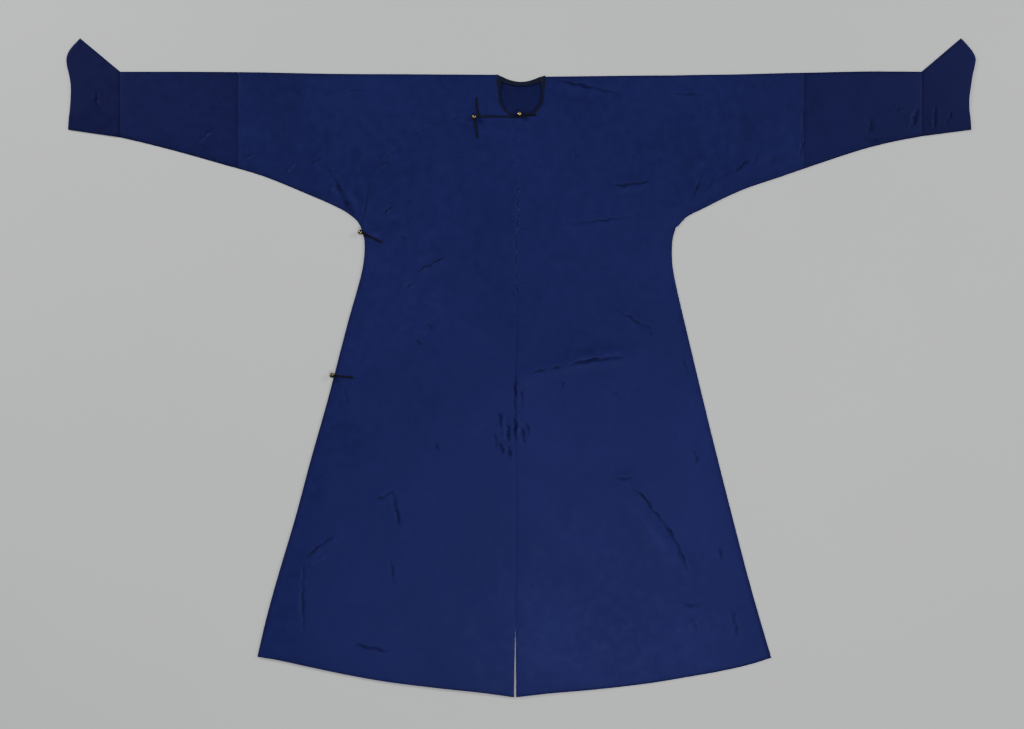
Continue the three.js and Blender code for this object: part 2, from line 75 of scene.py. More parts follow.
ventGap = 4.9                                         # the vent's edges at the hem
layersApart = 2 * silkWall + 0.2                      # least height of a front over its back

sideTable = {                                         # side edges below the armpit
    "y": [-667, -581, -489, -351, -213, -75, 109, 201, 247, 293, 322],
    "right": [606, 586, 561, 520, 483, 444, 396, 370, 361, 360, 368],
    "left": [575.5, 550, 524, 488, 453, 419, 375, 354, 347.5, 348.5, 356],
}
sleeveTable = {                                       # under and upper edge of each sleeve
    "x": [350, 362, 380, 412, 504, 596, 692, 784, 853, 921],
    "underRight": [308, 319, 340, 363, 404, 441, 469, 495, 513, 529],
    "underLeft": [306, 325, 345, 362, 406, 438, 471, 501, 518.5, 531.5],
    "topRight": [674.5, 674.6, 674.8, 675, 676.5, 678.5, 679.5, 680, 680, 680],
    "topLeft": [671.5, 671.8, 672.2, 672.8, 674, 676.5, 678.5, 680.5, 680.5, 680],
}
mouthTable = {                                        # mouth of each cuff, lower corner to hoof's tip
    "part": [0, 0.12, 0.22, 0.35, 0.5, 0.62, 0.72, 0.8, 0.89, 1],
    "y": [546.5, 571, 592, 620, 651, 676, 697, 714, 733, 757.5],
    "right": [1041, 1039.5, 1037, 1035, 1035, 1039, 1043.8, 1044.2, 1036, 1014],
    "left": [1035, 1033, 1030.5, 1030.5, 1034.5, 1038.5, 1043.4, 1044.2, 1034, 1012],
}
hemTable = {                                          # rise of the hem towards each side
    "part": [0, 0.13, 0.3, 0.5, 0.65, 0.8, 0.92, 1],
    "right": [0, 10.5, 21, 36, 51.5, 70, 85.5, 93],
    "left": [0, 8.5, 17, 30, 44, 59.5, 75.5, 90.5],
}
overlapTable = {                                      # upper edge of the outer overlap
    "x": [0, 102, 158, 240, 302, 346, 356, 368],
    "y": [577.5, 577.5, 568, 536, 499, 420, 360, 326],
}
seamDrift = {                                         # the centre seam wanders where it is puckered
    "y": [-760, -250, -100, -6, 60, 120, 180, 240, 300, 345, 420, 680],
    "shift": [0, -0.8, -3.8, -3.8, -0.6, 0.6, -2.6, -4.2, -3.2, -0.6, 0, 0],
}
solidFolds = [                                        # broad folds: start, end, bend, width, rise
    ((6, -24), (250, 24), 10, 30, 1.5),
    ((238, -255), (384, -462), -16, 34, 1.7),
    ((212, 418), (300, 426), 4, 30, 1.0),
    ((117, 328), (250, 346), 4, 30, 1.0),
    ((-270, 180), (-170, 258), 6, 32, 1.5),
    ((-350, 352), (-265, 412), 6, 30, 1.1),
    ((-328, -300), (-278, -372), 8, 32, 1.2),
    ((-494, -438), (-430, -390), 5, 28, 1.0),
    ((410, 405), (548, 470), 8, 32, 1.2),
    ((-424, 432), (-384, 372), 6, 30, 1.0),
]


def mix(a, b, t):
    return a + (b - a) * t


def smooth(t):
    t = np.clip(t, 0, 1)
    return t * t * (3 - 2 * t)


def readTable(table, key, column, value):
    # a smooth curve through the table's rows
    xs = np.array(table[key], float)
    ys = np.array(table[column], float)
    last = len(xs) - 1
    at = np.clip(np.asarray(value, float), xs[0], xs[-1])
    k = np.clip(np.searchsorted(xs, at, side="left") - 1, 0, last - 1)
    before = np.maximum(np.arange(last + 1) - 1, 0)
    after = np.minimum(np.arange(last + 1) + 1, last)
    slopes = (ys[after] - ys[before]) / (xs[after] - xs[before])
    span = xs[k + 1] - xs[k]
    t = (at - xs[k]) / span
    return ((2 * t**3 - 3 * t**2 + 1) * ys[k] + (t**3 - 2 * t**2 + t) * span * slopes[k]
            + (3 * t**2 - 2 * t**3) * ys[k + 1] + (t**3 - t**2) * span * slopes[k + 1])


def heading(start, end):
    length = math.hypot(end[0] - start[0], end[1] - start[1])
    return (end[0] - start[0]) / length, (end[1] - start[1]) / length, length


def sideName(side):
    return "left" if side > 0 else "right"


def centreAt(y):
    part = np.clip((y - robe["hemDrop"]) / (robe["shoulderRight"] - robe["hemDrop"]), 0, 1)
    middle = (robe["waveFrom"] + robe["waveTo"]) / 2
    near = smooth(1 - np.abs(y - middle) / (robe["waveTo"] - middle))
    wave = robe["waveDepth"] * near * np.sin(2 * np.pi * y / robe["waveLength"])
    return mix(robe["centreHem"], robe["centreTop"], part) + wave + readTable(seamDrift, "y", "shift", y)


def centreEdge(side, y):
    opened = np.clip((robe["ventTop"] - y) / (robe["ventTop"] - robe["hemDrop"]), 0, 1)
    return centreAt(y) + side * (seamGap + ventGap * np.sqrt(opened)) / 2


def sideEdge(side, y):
    return side * readTable(sideTable, "y", sideName(side), y)


def hemAt(side, part):
    return robe["hemDrop"] + readTable(hemTable, "part", sideName(side), part)


def sleeveUnder(side, x):
    return readTable(sleeveTable, "x", "underLeft" if side > 0 else "underRight", x)


def sleeveTop(side, x):
    column = "topLeft" if side > 0 else "topRight"
    start = robe["shoulderLeft"] if side > 0 else robe["shoulderRight"]
    first = sleeveTable["x"][0]
    near = mix(start, sleeveTable[column][0], smooth(x / first))
    return np.where(x < first, near, readTable(sleeveTable, "x", column, x))


def overlapEdge(x):
    return readTable(overlapTable, "x", "y", np.abs(x))


neckReach = robe["neckHalf"] + 1.6                    # the cloth ends under the binding


def neckLine(x):
    return robe["neckTurn"] - np.sqrt(np.maximum(neckReach**2 - x**2, 0))


def backBandLine(x):
    return robe["backNeckLow"] + robe["backNeckRise"] * (x / robe["neckHalf"]) ** 2


# height of each front
def edgeDistance(side, x, y):
    out = np.abs(x)
    edge = np.abs(sideEdge(side, y))
    skirt = np.minimum(edge - out, y - hemAt(side, np.clip(out / edge, 0, 1)))
    upper = np.where(out < sleeveTable["x"][0], robe["softReach"], y - sleeveUnder(side, out))
    return np.where(y < robe["armpitLine"], skirt, upper)


def softness(side, x, y):
    return robe["softRise"] * smooth(edgeDistance(side, x, y) / robe["softReach"])


def broadFolds(x, y):
    rise = np.zeros_like(x)
    for (x0, y0), end, bend, width, height in solidFolds:
        ux, uy, length = heading((x0, y0), end)
        along = ((x - x0) * ux + (y - y0) * uy) / length
        bow = bend * np.sin(np.pi * np.clip(along, 0, 1))
        across = (y - y0) * ux - (x - x0) * uy - bow
        beyond = np.maximum(np.maximum(-along, along - 1), 0) * length
        rise += height * smooth(1 - np.hypot(across, beyond) / width)
    return rise


def leftFront(x, y):
    out = np.abs(x - centreAt(y))
    spread = np.clip((out - 30) / (0.7 * sideTable["left"][-1]), 0, 1)
    fromShoulder = smooth((robe["shoulderLeft"] - 9 - y) / 70)
    level = mix(innerTop, outerTop, (1 - smooth(spread)) * fromShoulder)
    return level + softness(1, x, y) + broadFolds(x, y)


def overlapFront(x, y):
    return outerTop + softness(-1, x, y) + broadFolds(x, y)


def rightFront(x, y):
    shown = np.where(np.abs(x) > sideTable["right"][-1], 1, smooth((y - overlapEdge(x)) / 40))
    bare = np.where(y > robe["armpitLine"], shown, 0)
    return innerTop + 0.5 * softness(-1, x, y) + broadFolds(x, y) * bare


print("stage: cut and heights ready")


# creases, listed one by one: width, rise (a soft ridge above 0, a trough below it), then a short path
creases = [
    # waist, to the right of the centre seam
    (3.1, -1.67, (24, -16), (40, -8), (56, -4)),
    (2.9, -1.48, (68, -2), (80, 0), (94, 4)),
    (3, -1.97, (100, 5), (136, 12), (182, 19), (209, 21), (240, 25)),
    (6.5, 1, (112, 16), (180, 30), (240, 34)),
    (2.9, -0.89, (204, -50), (219, -60), (228, -72)),
    (2.9, -0.89, (92, -28), (96, -40), (94, -50)),
    # bowed crease on the left skirt, the cloth beside it a little higher
    (3.1, -2.16, (252, -272), (274, -289), (301, -327), (327, -355)),
    (3.1, -1.87, (320, -347), (354, -394), (375, -445), (386, -468)),
    (13, 0.9, (232, -292), (280, -346), (326, -408), (350, -462)),
    (2.9, -0.98, (214, -252), (236, -256), (262, -250)),
    # left chest and shoulder
    (3.1, -1.78, (206, 416), (255, 421), (300, 428)),
    (6, 0.7, (214, 405), (262, 409), (296, 415)),
    (3.4, -1.08, (110, 329), (180, 337), (256, 347)),
    (3.4, -1.57, (60, 664), (124, 652), (180, 640), (234, 626)),
    (7, 0.7, (80, 644), (140, 632), (204, 618)),
    (2.9, -1.18, (350, 627), (383, 629), (416, 626)),
    (3.2, -1.28, (212, 136), (255, 112), (294, 88)),
    (3.1, -0.98, (286, 102), (296, 88), (298, 74)),
    (3.1, -0.68, (118, 508), (126, 494), (124, 478)),
    # left sleeve, puckered along its under edge
    (3.1, -1.48, (390, 388), (404, 412), (414, 434)),
    (3.2, -0.8, (430, 408), (438, 424), (443, 436)),
    (4.2, -0.5, (458, 430), (470, 446), (490, 452)),
    (3.4, -1.9, (492, 446), (508, 464), (526, 475)),
    (2.9, -0.6, (531, 462), (538, 476), (541, 488)),
    (5.2, -0.45, (566, 470), (590, 478), (612, 476)),
    (8, 0.9, (384, 440), (404, 462), (428, 474)),
    (3.2, -0.95, (641, 486), (646, 506), (643, 524)),
    (3.1, -1.28, (786, 522), (806, 518), (830, 526)),
    (2.9, -0.7, (858, 584), (866, 592), (880, 594)),
    (3.1, -1.38, (950, 600), (952, 576), (947, 548)),
    (3.1, -0.79, (976, 560), (984, 572), (986, 590)),
    (4.4, -1.9, (894, 550), (904, 570), (910, 594)),
    (11, 0.55, (480, 470), (488, 530), (484, 598)),
    (9, 0.45, (541, 496), (549, 540), (556, 566)),
    (4, -0.7, (646, 528), (650, 560), (644, 604)),
    (12, 0.5, (697, 566), (703, 596), (699, 640)),
    (6, -0.9, (798, 534), (804, 560), (800, 574)),
    # left side and hem
    (2.9, -1.28, (398, -188), (403, -206), (406, -222)),
    (2.9, -1.28, (456, -408), (461, -427), (461, -444)),
    (3.2, -0.89, (366, -540), (392, -548), (420, -546)),
    (3.2, -0.98, (484, -552), (494, -584), (500, -622)),
    (3.1, -0.79, (392, -576), (402, -590), (404, -606)),
    (9, 0.6, (130, -300), (122, -334), (128, -366)),
    (3.2, -0.89, (372, 30), (378, 2), (388, -20)),
    # overlap: chest, armpit and waist
    (3.2, -1.97, (-244, 215), (-214, 232), (-191, 243), (-168, 258)),
    (3.1, -1.38, (-272, 176), (-258, 186), (-244, 200)),
    (7, 1, (-258, 228), (-222, 250), (-190, 264)),
    (3.2, -1.48, (-316, 350), (-306, 362), (-294, 370)),
    (6, 0.9, (-306, 340), (-294, 348), (-282, 350)),
    (5, 0.8, (-352, 300), (-334, 306), (-316, 304)),
    (2.9, -0.98, (-276, 304), (-270, 296), (-262, 290)),
    (2.9, -1.18, (-241, 66), (-237, 57), (-230, 50)),
    (2.9, -0.89, (-216, 104), (-208, 96), (-206, 86)),
    (2.9, -1.08, (-200, -170), (-192, -180), (-190, -194)),
    (3.2, -0.79, (-400, -40), (-404, -62), (-398, -84)),
    # overlap: skirt
    (3.1, -1.38, (-334, -304), (-312, -296), (-292, -283)),
    (3.2, -1.67, (-296, -282), (-287, -320), (-277, -372)),
    (7, 0.35, (-316, -320), (-304, -346), (-298, -372)),
    (3.2, -1.78, (-496, -438), (-463, -412), (-430, -389)),
    (6, 0.8, (-488, -456), (-462, -438), (-440, -430)),
    (3.4, -1.18, (-499, -450), (-503, -530), (-499, -610)),
    (3.4, -0.89, (-300, -440), (-296, -470), (-293, -500)),
    (3, -1.57, (-386, -636), (-346, -645), (-306, -653)),
    (9, 0.5, (-60, -400), (-48, -452), (-52, -500)),
    # right shoulder and sleeve
    (3.4, -2.16, (-428, 436), (-418, 412), (-408, 392)),
    (6, -1.5, (-408, 392), (-396, 370), (-380, 350)),
    (5, 1, (-436, 414), (-426, 398), (-420, 386)),
    (5.5, 1.1, (-394, 404), (-382, 384), (-374, 366)),
    (3.1, -0.98, (-446, 462), (-438, 450), (-430, 442)),
    (3.2, -0.98, (-486, 466), (-470, 474), (-454, 483)),
    (3.1, -0.98, (-540, 444), (-530, 462), (-516, 472)),
    (3.1, -0.89, (-640, 470), (-628, 486), (-612, 492)),
    (2.9, -0.89, (-326, 464), (-312, 470), (-298, 470)),
    (3.1, -0.79, (-402, 632), (-380, 637), (-356, 635)),
    (3.2, -0.79, (-742, 518), (-722, 536), (-704, 544)),
    (3.2, -0.89, (-964, 590), (-976, 614), (-974, 636)),
]
backCreases = [                      # the back, under the robe: the cloth lifts a little off the floor
    (11, 0.8, (-300, 420), (-210, 396), (-120, 404)),
    (10, 0.9, (90, 250), (190, 222), (286, 236)),
    (10, 0.7, (-260, 60), (-180, 84), (-90, 72)),
    (10, 0.9, (60, -60), (150, -82), (258, -64)),
    (11, 0.9, (-384, -300), (-330, -372), (-306, -452)),
    (10, 0.8, (210, -260), (276, -330), (330, -430)),
    (10, 0.7, (-180, -520), (-120, -556), (-70, -610)),
    (9, 0.7, (400, -520), (440, -560), (462, -610)),
    (10, 0.8, (-420, 480), (-520, 520), (-590, 560)),
    (10, 0.7, (420, 500), (500, 540), (588, 556)),
    (9, 0.7, (700, 600), (770, 584), (830, 590)),
    (9, 0.7, (-720, 590), (-790, 604), (-850, 590)),
    (9, 0.8, (60, 560), (110, 600), (180, 618)),
    (9, 0.7, (-80, 520), (-150, 560), (-210, 566)),
]


def pathDistance(x, y, points):
    # how far each place is from a path, how far along it lies, and on which side
    lengths = np.hypot(*np.diff(points, axis=0).T)
    best = np.full(x.shape, 1e9)
    where = np.zeros(x.shape)
    side = np.ones(x.shape)
    for k, length in enumerate(lengths):
        a = points[k]
        ux, uy = (points[k + 1] - a) / length
        t = np.clip((x - a[0]) * ux + (y - a[1]) * uy, 0, length)
        d = np.hypot(x - a[0] - ux * t, y - a[1] - uy * t)
        closer = d < best
        best = np.where(closer, d, best)
        where = np.where(closer, (lengths[:k].sum() + t) / lengths.sum(), where)
        side = np.where(closer, np.sign(ux * (y - a[1]) - uy * (x - a[0])), side)
    return best, where, side


def softPath(path):
    # rounds the corners of a short path
    points = np.array(path, float)
    for _ in range(2):
        inner = [mix(points[k], points[k + 1], t) for k in range(len(points) - 1) for t in (0.25, 0.75)]
        points = np.array([points[0], *inner[1:-1], points[-1]]) if len(points) > 2 else points
    return points


def nearPath(x, y, points, reach):
    low, high = points.min(0) - reach, points.max(0) + reach
    return (x > low[0]) & (x < high[0]) & (y > low[1]) & (y < high[1])


# waver in millimetres, banks and lean as parts of the rise, and the width that needs no closer mesh
creaseShape = {"waver": 1.3, "banks": -0.22, "lean": 0.16, "plainWidth": 6.4}


def creaseRise(x, y, table):
    # a crease wavers, thins out at its ends and leaves the cloth a little higher on one side
    s = creaseShape
    bentX = x + s["waver"] * np.sin(y * 0.19 + 1.6 * np.sin(x * 0.11))
    bentY = y + s["waver"] * np.sin(x * 0.17 + 1.4 * np.sin(y * 0.13))
    rise = np.zeros_like(x)
    for n, (width, depth, *path) in enumerate(table):
        points = softPath(path)
        near = nearPath(x, y, points, 7 * width)
        if not near.any():
            continue
        best, where, side = pathDistance(bentX[near], bentY[near], points)
        ends = np.sin(np.pi * np.clip(where, 0, 1)) ** 0.7
        uneven = 1 + 0.3 * np.sin(where * 11.0 + n * 1.7) + 0.2 * np.sin(where * 27.0 + n)
        line = np.exp(-((best / (width * (0.75 + 0.25 * ends))) ** 2))
        banks = s["banks"] * np.exp(-(((best - 2.3 * width) / (1.5 * width)) ** 2))
        lean = s["lean"] * side * (1 - 2 * (n % 2)) * (1 - np.exp(-best / width))
        lean *= np.exp(-((best / (4.2 * width)) ** 2))
        rise[near] += depth * ends * uneven * (line + banks + lean)
    return rise


def onCrease(x, y, table):
    # where a crease is too narrow for the plain mesh
    found = np.zeros(x.shape, bool)
    for width, _, *path in table:
        if width > creaseShape["plainWidth"]:
            continue
        points, reach = softPath(path), 2.6 * width + 3
        near = nearPath(x, y, points, reach)
        if near.any():
            found[near] |= pathDistance(x[near], y[near], points)[0] < reach
    return found


# slow unevenness of silk that has been folded away and laid out again: across, along, turn, rise
drift = [
    (0.041, 0.017, 0.3, 0.12),
    (-0.023, 0.046, 1.9, 0.11),
    (0.067, -0.039, 4.1, 0.07),
    (0.012, 0.083, 2.6, 0.06),
    (0.104, 0.061, 5.2, 0.05),
    (-0.089, 0.117, 0.9, 0.04),
]


def driftRise(x, y):
    bentX = x + 14 * np.sin(y * 0.019 + 1.0)
    bentY = y + 17 * np.sin(x * 0.015 + 0.4)
    return sum(rise * np.sin(bentX * across + bentY * along + turn) for across, along, turn, rise in drift)


# puckers: ripples that run away from the centre seam, and the groove of the seam itself
seamPucker = {
    "from": 178, "to": 416, "length": 13.0, "reach": 11.0, "rise": 0.9,
    "near": 15, "lowest": -210, "highest": 560,       # where the mesh is closer for it
}
seamGroove = {"half": 2.6, "strong": 1.5, "middle": 0.8, "faint": 0.22}
# folds drawn up where the pleat below the waist begins, beside the seam
creases += [
    (3, -1.45, (-13, -16), (-12.5, -60), (-14, -104)),
    (3.1, -2.09, (-52, -100), (-46, -126), (-42, -142)),
    (3, -2.23, (-34, -128), (-27, -148), (-29, -170)),
    (3, -2.09, (-15, -116), (-11, -140), (-14, -168)),
    (3, -1.95, (1, -132), (5, -150), (9, -174)),
    (3.1, -2.36, (-52, -172), (-44, -186), (-38, -200)),
    (3, -1.82, (-30, -174), (-25, -190), (-28, -210)),
    (3.1, -1.26, (12, -122), (17, -140), (14, -158)),
    (3.1, -1.26, (-63, -148), (-57, -164), (-58, -184)),
    (3.7, 1.53, (-40, -104), (-37, -136), (-41, -166)),
    (3.4, 1.26, (-6, -104), (-4, -128), (-7, -152)),
    (3.1, -0.97, (4, -40), (2, -70), (4, -98)),
]


def nearSeam(x, y):
    s = seamPucker
    return (np.abs(x - centreAt(y)) < s["near"]) & (y > s["lowest"]) & (y < s["highest"])


def seamRise(side, x, y):
    s = seamPucker
    away = np.abs(x - centreEdge(side, y))
    middle, half = (s["from"] + s["to"]) / 2, (s["to"] - s["from"]) / 2
    strong = smooth((half + 18 - np.abs(y - middle)) / 36)
    low = smooth((y + 200) / 60) * (1 - strong)
    wander = y + 5 * np.sin(y * 0.037) + side * 3
    ripple = np.sin(2 * np.pi * wander / s["length"]) + 0.5 * np.sin(wander * 0.23 + 1.1)
    reach = s["reach"] * (1 + 0.35 * np.sin(y * 0.11))
    pucker = s["rise"] * (0.6 * strong + 0.28 * low) * ripple * np.exp(-away / reach)
    g = seamGroove
    deep = g["faint"] + (g["strong"] - g["faint"]) * strong + (g["middle"] - g["faint"]) * low
    deep = deep * (1 + 0.45 * np.sin(y * 0.16 + 1.5 * np.sin(y * 0.031)))
    closed = smooth((y - robe["ventTop"]) / 30)
    return pucker * smooth(away / 3 + 0.3) - closed * deep * np.exp(-((away / g["half"]) ** 2))


sleeveSeams = {"at": (robe["bodySeam"], robe["cuffSeam"]), "depth": 0.16, "half": 2.4}      # pressed grooves


def clothDetail(x, y):
    s = sleeveSeams
    grooves = sum(s["depth"] * np.exp(-(((np.abs(x) - line) / s["half"]) ** 2)) for line in s["at"])
    return creaseRise(x, y, creases) + driftRise(x, y) - grooves


def backLift(x, y):
    soft = 0.18 * (1 + np.sin(x * 0.021 + 0.7 * np.sin(y * 0.013)) * np.sin(y * 0.017 + 1.2))
    return np.clip(creaseRise(x, y, backCreases) + soft, 0, 1.1)


sewnEdge = {"reach": 5.0, "drop": 0.9}                # the front rolls over towards the back


def turnedDown(away):
    return sewnEdge["drop"] * np.clip(1 - away / sewnEdge["reach"], 0, 1) ** 2


print("stage: creases ready")


# every piece lies at the origin, with its place in its mesh
def linkPiece(name, mesh):
    piece = bpy.data.objects.new(name, mesh)
    bpy.context.scene.collection.objects.link(piece)
    return piece


def newPiece(name, verts, faces, edges=()):
    mesh = bpy.data.meshes.new(name)
    mesh.from_pydata(verts, list(edges), faces)
    return linkPiece(name, mesh)


def markPoints(mesh, **marks):
    for label, values in marks.items():
        mesh.attributes.new(label, "FLOAT", "POINT").data.foreach_set("value", values)


# walls from grids
def makeWall(name, outer, inner, has, flip, across, fine):
    columns, rows = has.shape
    used = np.zeros((columns + 1, rows + 1), bool)
    for di in (0, 1):
        for dj in (0, 1):
            used[di:columns + di, dj:rows + dj] |= has
    count = int(used.sum())
    number = np.full(used.shape, -1)
    number[used] = np.arange(count)
    verts = np.concatenate([inner[used], outer[used]]) * toMetres
    i, j = np.nonzero(has)
    ring = np.stack([number[i, j], number[i + 1, j], number[i + 1, j + 1], number[i, j + 1]], 1)
    faces = [ring + count, ring[:, ::-1]]
    padded = np.zeros((columns + 2, rows + 2), bool)
    padded[1:-1, 1:-1] = has
    for n, (di, dj) in enumerate([(0, -1), (1, 0), (0, 1), (-1, 0)]):
        edge = ~padded[i + 1 + di, j + 1 + dj]
        a, b = ring[edge, n], ring[edge, (n + 1) % 4]
        faces.append(np.stack([a, b, b + count, a + count], 1))
    faces = np.concatenate(faces)
    if flip:
        faces = faces[:, ::-1]
    piece = newPiece(name, verts.tolist(), faces.tolist())
    mesh = piece.data
    markPoints(mesh, shown=np.concatenate([-fine[used], fine[used]]),
               lining=np.concatenate([np.ones(count), np.zeros(count)]))
    plan = np.concatenate([across[used], across[used]]) * toMetres
    uv = mesh.uv_layers.new(name="cloth")
    loops = np.empty(len(mesh.loops), np.int32)
    mesh.loops.foreach_get("vertex_index", loops)
    uv.data.foreach_set("uv", plan[loops].ravel())
    return piece


def refineCreases(piece, height, isNear):
    # a closer mesh where the cloth is creased, both faces set to the height of the cloth again
    bm = bmesh.new()
    bm.from_mesh(piece.data)
    layer = bm.verts.layers.float["shown"]
    edges = [e for e in bm.edges if abs(e.verts[0][layer] + e.verts[1][layer]) > 1.98]
    ends = np.array([(*e.verts[0].co[:2], *e.verts[1].co[:2]) for e in edges]) / toMetres
    near = isNear((ends[:, 0] + ends[:, 2]) / 2, (ends[:, 1] + ends[:, 3]) / 2)
    chosen = [e for e, keep in zip(edges, near) if keep]
    bmesh.ops.subdivide_edges(bm, edges=chosen, cuts=3, use_grid_fill=True)
    verts = [v for v in bm.verts if abs(v[layer]) > 0.99]
    places = np.array([v.co[:2] for v in verts]) / toMetres
    for v, z in zip(verts, height(places[:, 0], places[:, 1])):
        v.co.z = (z - (silkWall if v[layer] < 0 else 0)) * toMetres
    bm.to_mesh(piece.data)
    bm.free()
    piece.data.shade_smooth()
    piece.data.set_sharp_from_angle(angle=math.radians(60))


def roundEdges(outer, inner, has):
    # the last ring of points draws together, so that a cut edge is round
    columns, rows = has.shape
    padded = np.zeros((columns + 2, rows + 2), bool)
    padded[1:-1, 1:-1] = has
    full = padded[:-1, :-1] & padded[1:, :-1] & padded[:-1, 1:] & padded[1:, 1:]
    gap = (inner - outer)[~full] * 0.3
    outer[~full] += gap
    inner[~full] -= gap
    return full


patternTop = 700                                      # the fold's line on the cloth's own pattern
foldSteps = 8                                         # rows round the fold at the shoulders


def foldedPiece(name, s):
    # back rows, a round fold along the top, then front rows
    back, front, steps = s["backParts"], s["frontParts"], foldSteps
    columnX = s["columnX"]
    backRows = len(back) - 1
    rows = backRows + steps + len(front) - 1
    outer = np.zeros((len(columnX), rows + 1, 3))
    inner = np.zeros_like(outer)
    across = np.zeros((len(columnX), rows + 1, 2))
    for j in range(rows + 1):
        if j < backRows:
            x, y = s["plan"](columnX, back[j], "back")
            low = s["lift"](x, y)
            outer[:, j] = np.stack([x, y, low], 1)
            inner[:, j] = np.stack([x, y, low + silkWall], 1)
            across[:, j] = np.stack([x, 2 * patternTop - y], 1)
        elif j > backRows + steps:
            x, y = s["plan"](columnX, front[rows - j], "front")
            top = s["front"](x, y)
            outer[:, j] = np.stack([x, y, top], 1)
            inner[:, j] = np.stack([x, y, top - silkWall], 1)
            across[:, j] = np.stack([x, y], 1)
        else:
            turn = math.pi * (j - backRows) / steps
            x, y = s["plan"](columnX, 1.0, "back" if j == backRows else "front")
            top = s["front"](x, y)
            low = s["lift"](x, y)
            middle, radius = (top + low) / 2, (top - low) / 2
            for face, r in ((outer, radius), (inner, radius - silkWall)):
                bulge = r * np.sin(turn) * robe["foldRoot"] / np.maximum(radius, 0.1)
                face[:, j] = np.stack([x, y + bulge, middle - r * np.cos(turn)], 1)
            across[:, j] = np.stack([x, patternTop - 2 * np.cos(turn) + 0 * x], 1)
    has = s["has"](columnX, back, front, backRows, steps, rows)
    full = roundEdges(outer, inner, has)
    full[:, :backRows + steps + 1] = False
    piece = makeWall(name, outer, inner, has, s["flip"], across, full.astype(float))
    refineCreases(piece, s["front"], s["isNear"])
    return piece


def evenSteps(start, end, step):
    count = max(1, int(round(abs(end - start) / step)))
    return np.linspace(start, end, count + 1)


def joined(*stretches):
    values = [stretches[0]] + [np.atleast_1d(part)[1:] for part in stretches[1:]]
    return np.concatenate(values)


# neck and overlap bindings: narrow dark rolls
neckRoll = {
    "half": 6.1, "frontHalf": 2.4, "thick": 2.2, "step": 2.5, "rightTurn": 0.19, "leftTurn": -0.08,
    "cornerIn": 8.4, "backDown": 1.1, "rightCorner": 665.2, "leftCorner": 663.2,
}
edgeRoll = {"half": 2.2, "thick": 2.0, "step": 3.0, "start": 4.7, "end": 99.0}


# the two body pieces, each back, front and upper sleeve in one
bodyCut = {
    "neckColumns": 14, "chestStep": 6.6, "sleeveStep": 7.5, "skirtStep": 6.6, "plainStep": 14.0, "rim": 1.4,
}


def bodyColumns(side, s):
    armpitX = abs(float(sideEdge(side, robe["armpitLine"])))
    centre = side * float(centreEdge(side, robe["armpitLine"]))
    turns = np.linspace(0, math.pi / 2, s["neckColumns"] + 1)
    neck = mix(centre, neckReach, np.sin(turns))
    neck = np.insert(neck, 1, centre + s["rim"])
    chest = evenSteps(neckReach, armpitX, s["chestStep"])
    chest = np.insert(chest, -1, armpitX - s["rim"])
    end = robe["bodySeam"] - seamGap / 2
    sleeve = np.insert(evenSteps(armpitX, end, s["sleeveStep"]), -1, end - s["rim"])
    return joined(neck, chest, sleeve), armpitX, centre


def bodyPlan(side, armpitX, centre):
    neckTop = float(sleeveTop(side, neckReach)) - robe["foldRoot"]
    neckPart = (robe["neckTurn"] - robe["armpitLine"]) / (neckTop - robe["armpitLine"])

    def plan(columnX, part, layer):
        if part < 0:
            out = np.clip((columnX - centre) / (armpitX - centre), 0, 1)
            y = mix(robe["armpitLine"], hemAt(side, out), -part)
            return mix(centreEdge(side, y), sideEdge(side, y), out), y
        low = np.where(columnX > armpitX + 1e-6, sleeveUnder(side, columnX), robe["armpitLine"])
        y = mix(low, sleeveTop(side, columnX) - robe["foldRoot"], part)
        inNeck = columnX < neckReach - 1e-6
        if layer == "back":
            band = backBandLine(columnX) + robe["bandHalf"] - robe["seam"]
            y = np.where(inNeck, mix(low, band, part), y)
        else:
            y = np.where(inNeck, mix(low, neckLine(columnX), part / neckPart), y)
        x = side * columnX
        first = np.arange(len(columnX)) == 0
        return np.where(first, centreEdge(side, y), x), y

    return plan, neckPart


def bodyCells(armpitX, neckPart):
    def has(columnX, back, front, backRows, steps, rows):
        middle = (columnX[:-1] + columnX[1:]) / 2
        cells = np.zeros((len(middle), rows), bool)
        for j in range(rows):
            if backRows <= j < backRows + steps:
                cells[:, j] = middle > neckReach
                continue
            onBack = j < backRows
            part = back[j] if onBack else front[rows - 1 - j]
            keep = (middle < armpitX) | (part >= -1e-9)
            if not onBack and part >= neckPart - 1e-6:
                keep &= middle > neckReach
            cells[:, j] = keep
        return cells
    return has


def partRows(reach, step, rim):
    # parts of a length, with a narrow first row at its free edge
    return np.insert(np.linspace(0, 1, max(2, int(round(reach / step))) + 1), 1, rim / reach)


def makeBody(name, side, front, skirtStep):
    s = bodyCut
    columnX, armpitX, centre = bodyColumns(side, s)
    plan, neckPart = bodyPlan(side, armpitX, centre)
    reach = robe["armpitLine"] - robe["hemDrop"]
    neckReachRows = (robe["neckTurn"] - robe["armpitLine"]) / s["chestStep"]
    upper = joined(np.linspace(0, neckPart, int(neckReachRows) + 1), np.linspace(neckPart, 1, 8))
    frontParts = joined(partRows(reach, skirtStep, s["rim"]) - 1, upper)
    backUpper = joined(np.linspace(0, neckPart, 20), np.linspace(neckPart, 1, 5))
    backParts = joined(partRows(reach, s["plainStep"], s["rim"]) - 1, backUpper)
    return foldedPiece(name, {
        "columnX": columnX, "backParts": backParts, "frontParts": frontParts,
        "plan": plan, "lift": backLift, "front": front, "flip": side > 0,
        "has": bodyCells(armpitX, neckPart),
        "isNear": lambda x, y: onCrease(x, y, creases) | (nearSeam(x, y) & (side > 0)),
    })


def leftShown(x, y):
    front = leftFront(x, y) + clothDetail(x, y) + seamRise(1, x, y)
    front -= turnedDown(edgeDistance(1, x, y))
    return np.maximum(front, backLift(x, y) + layersApart)


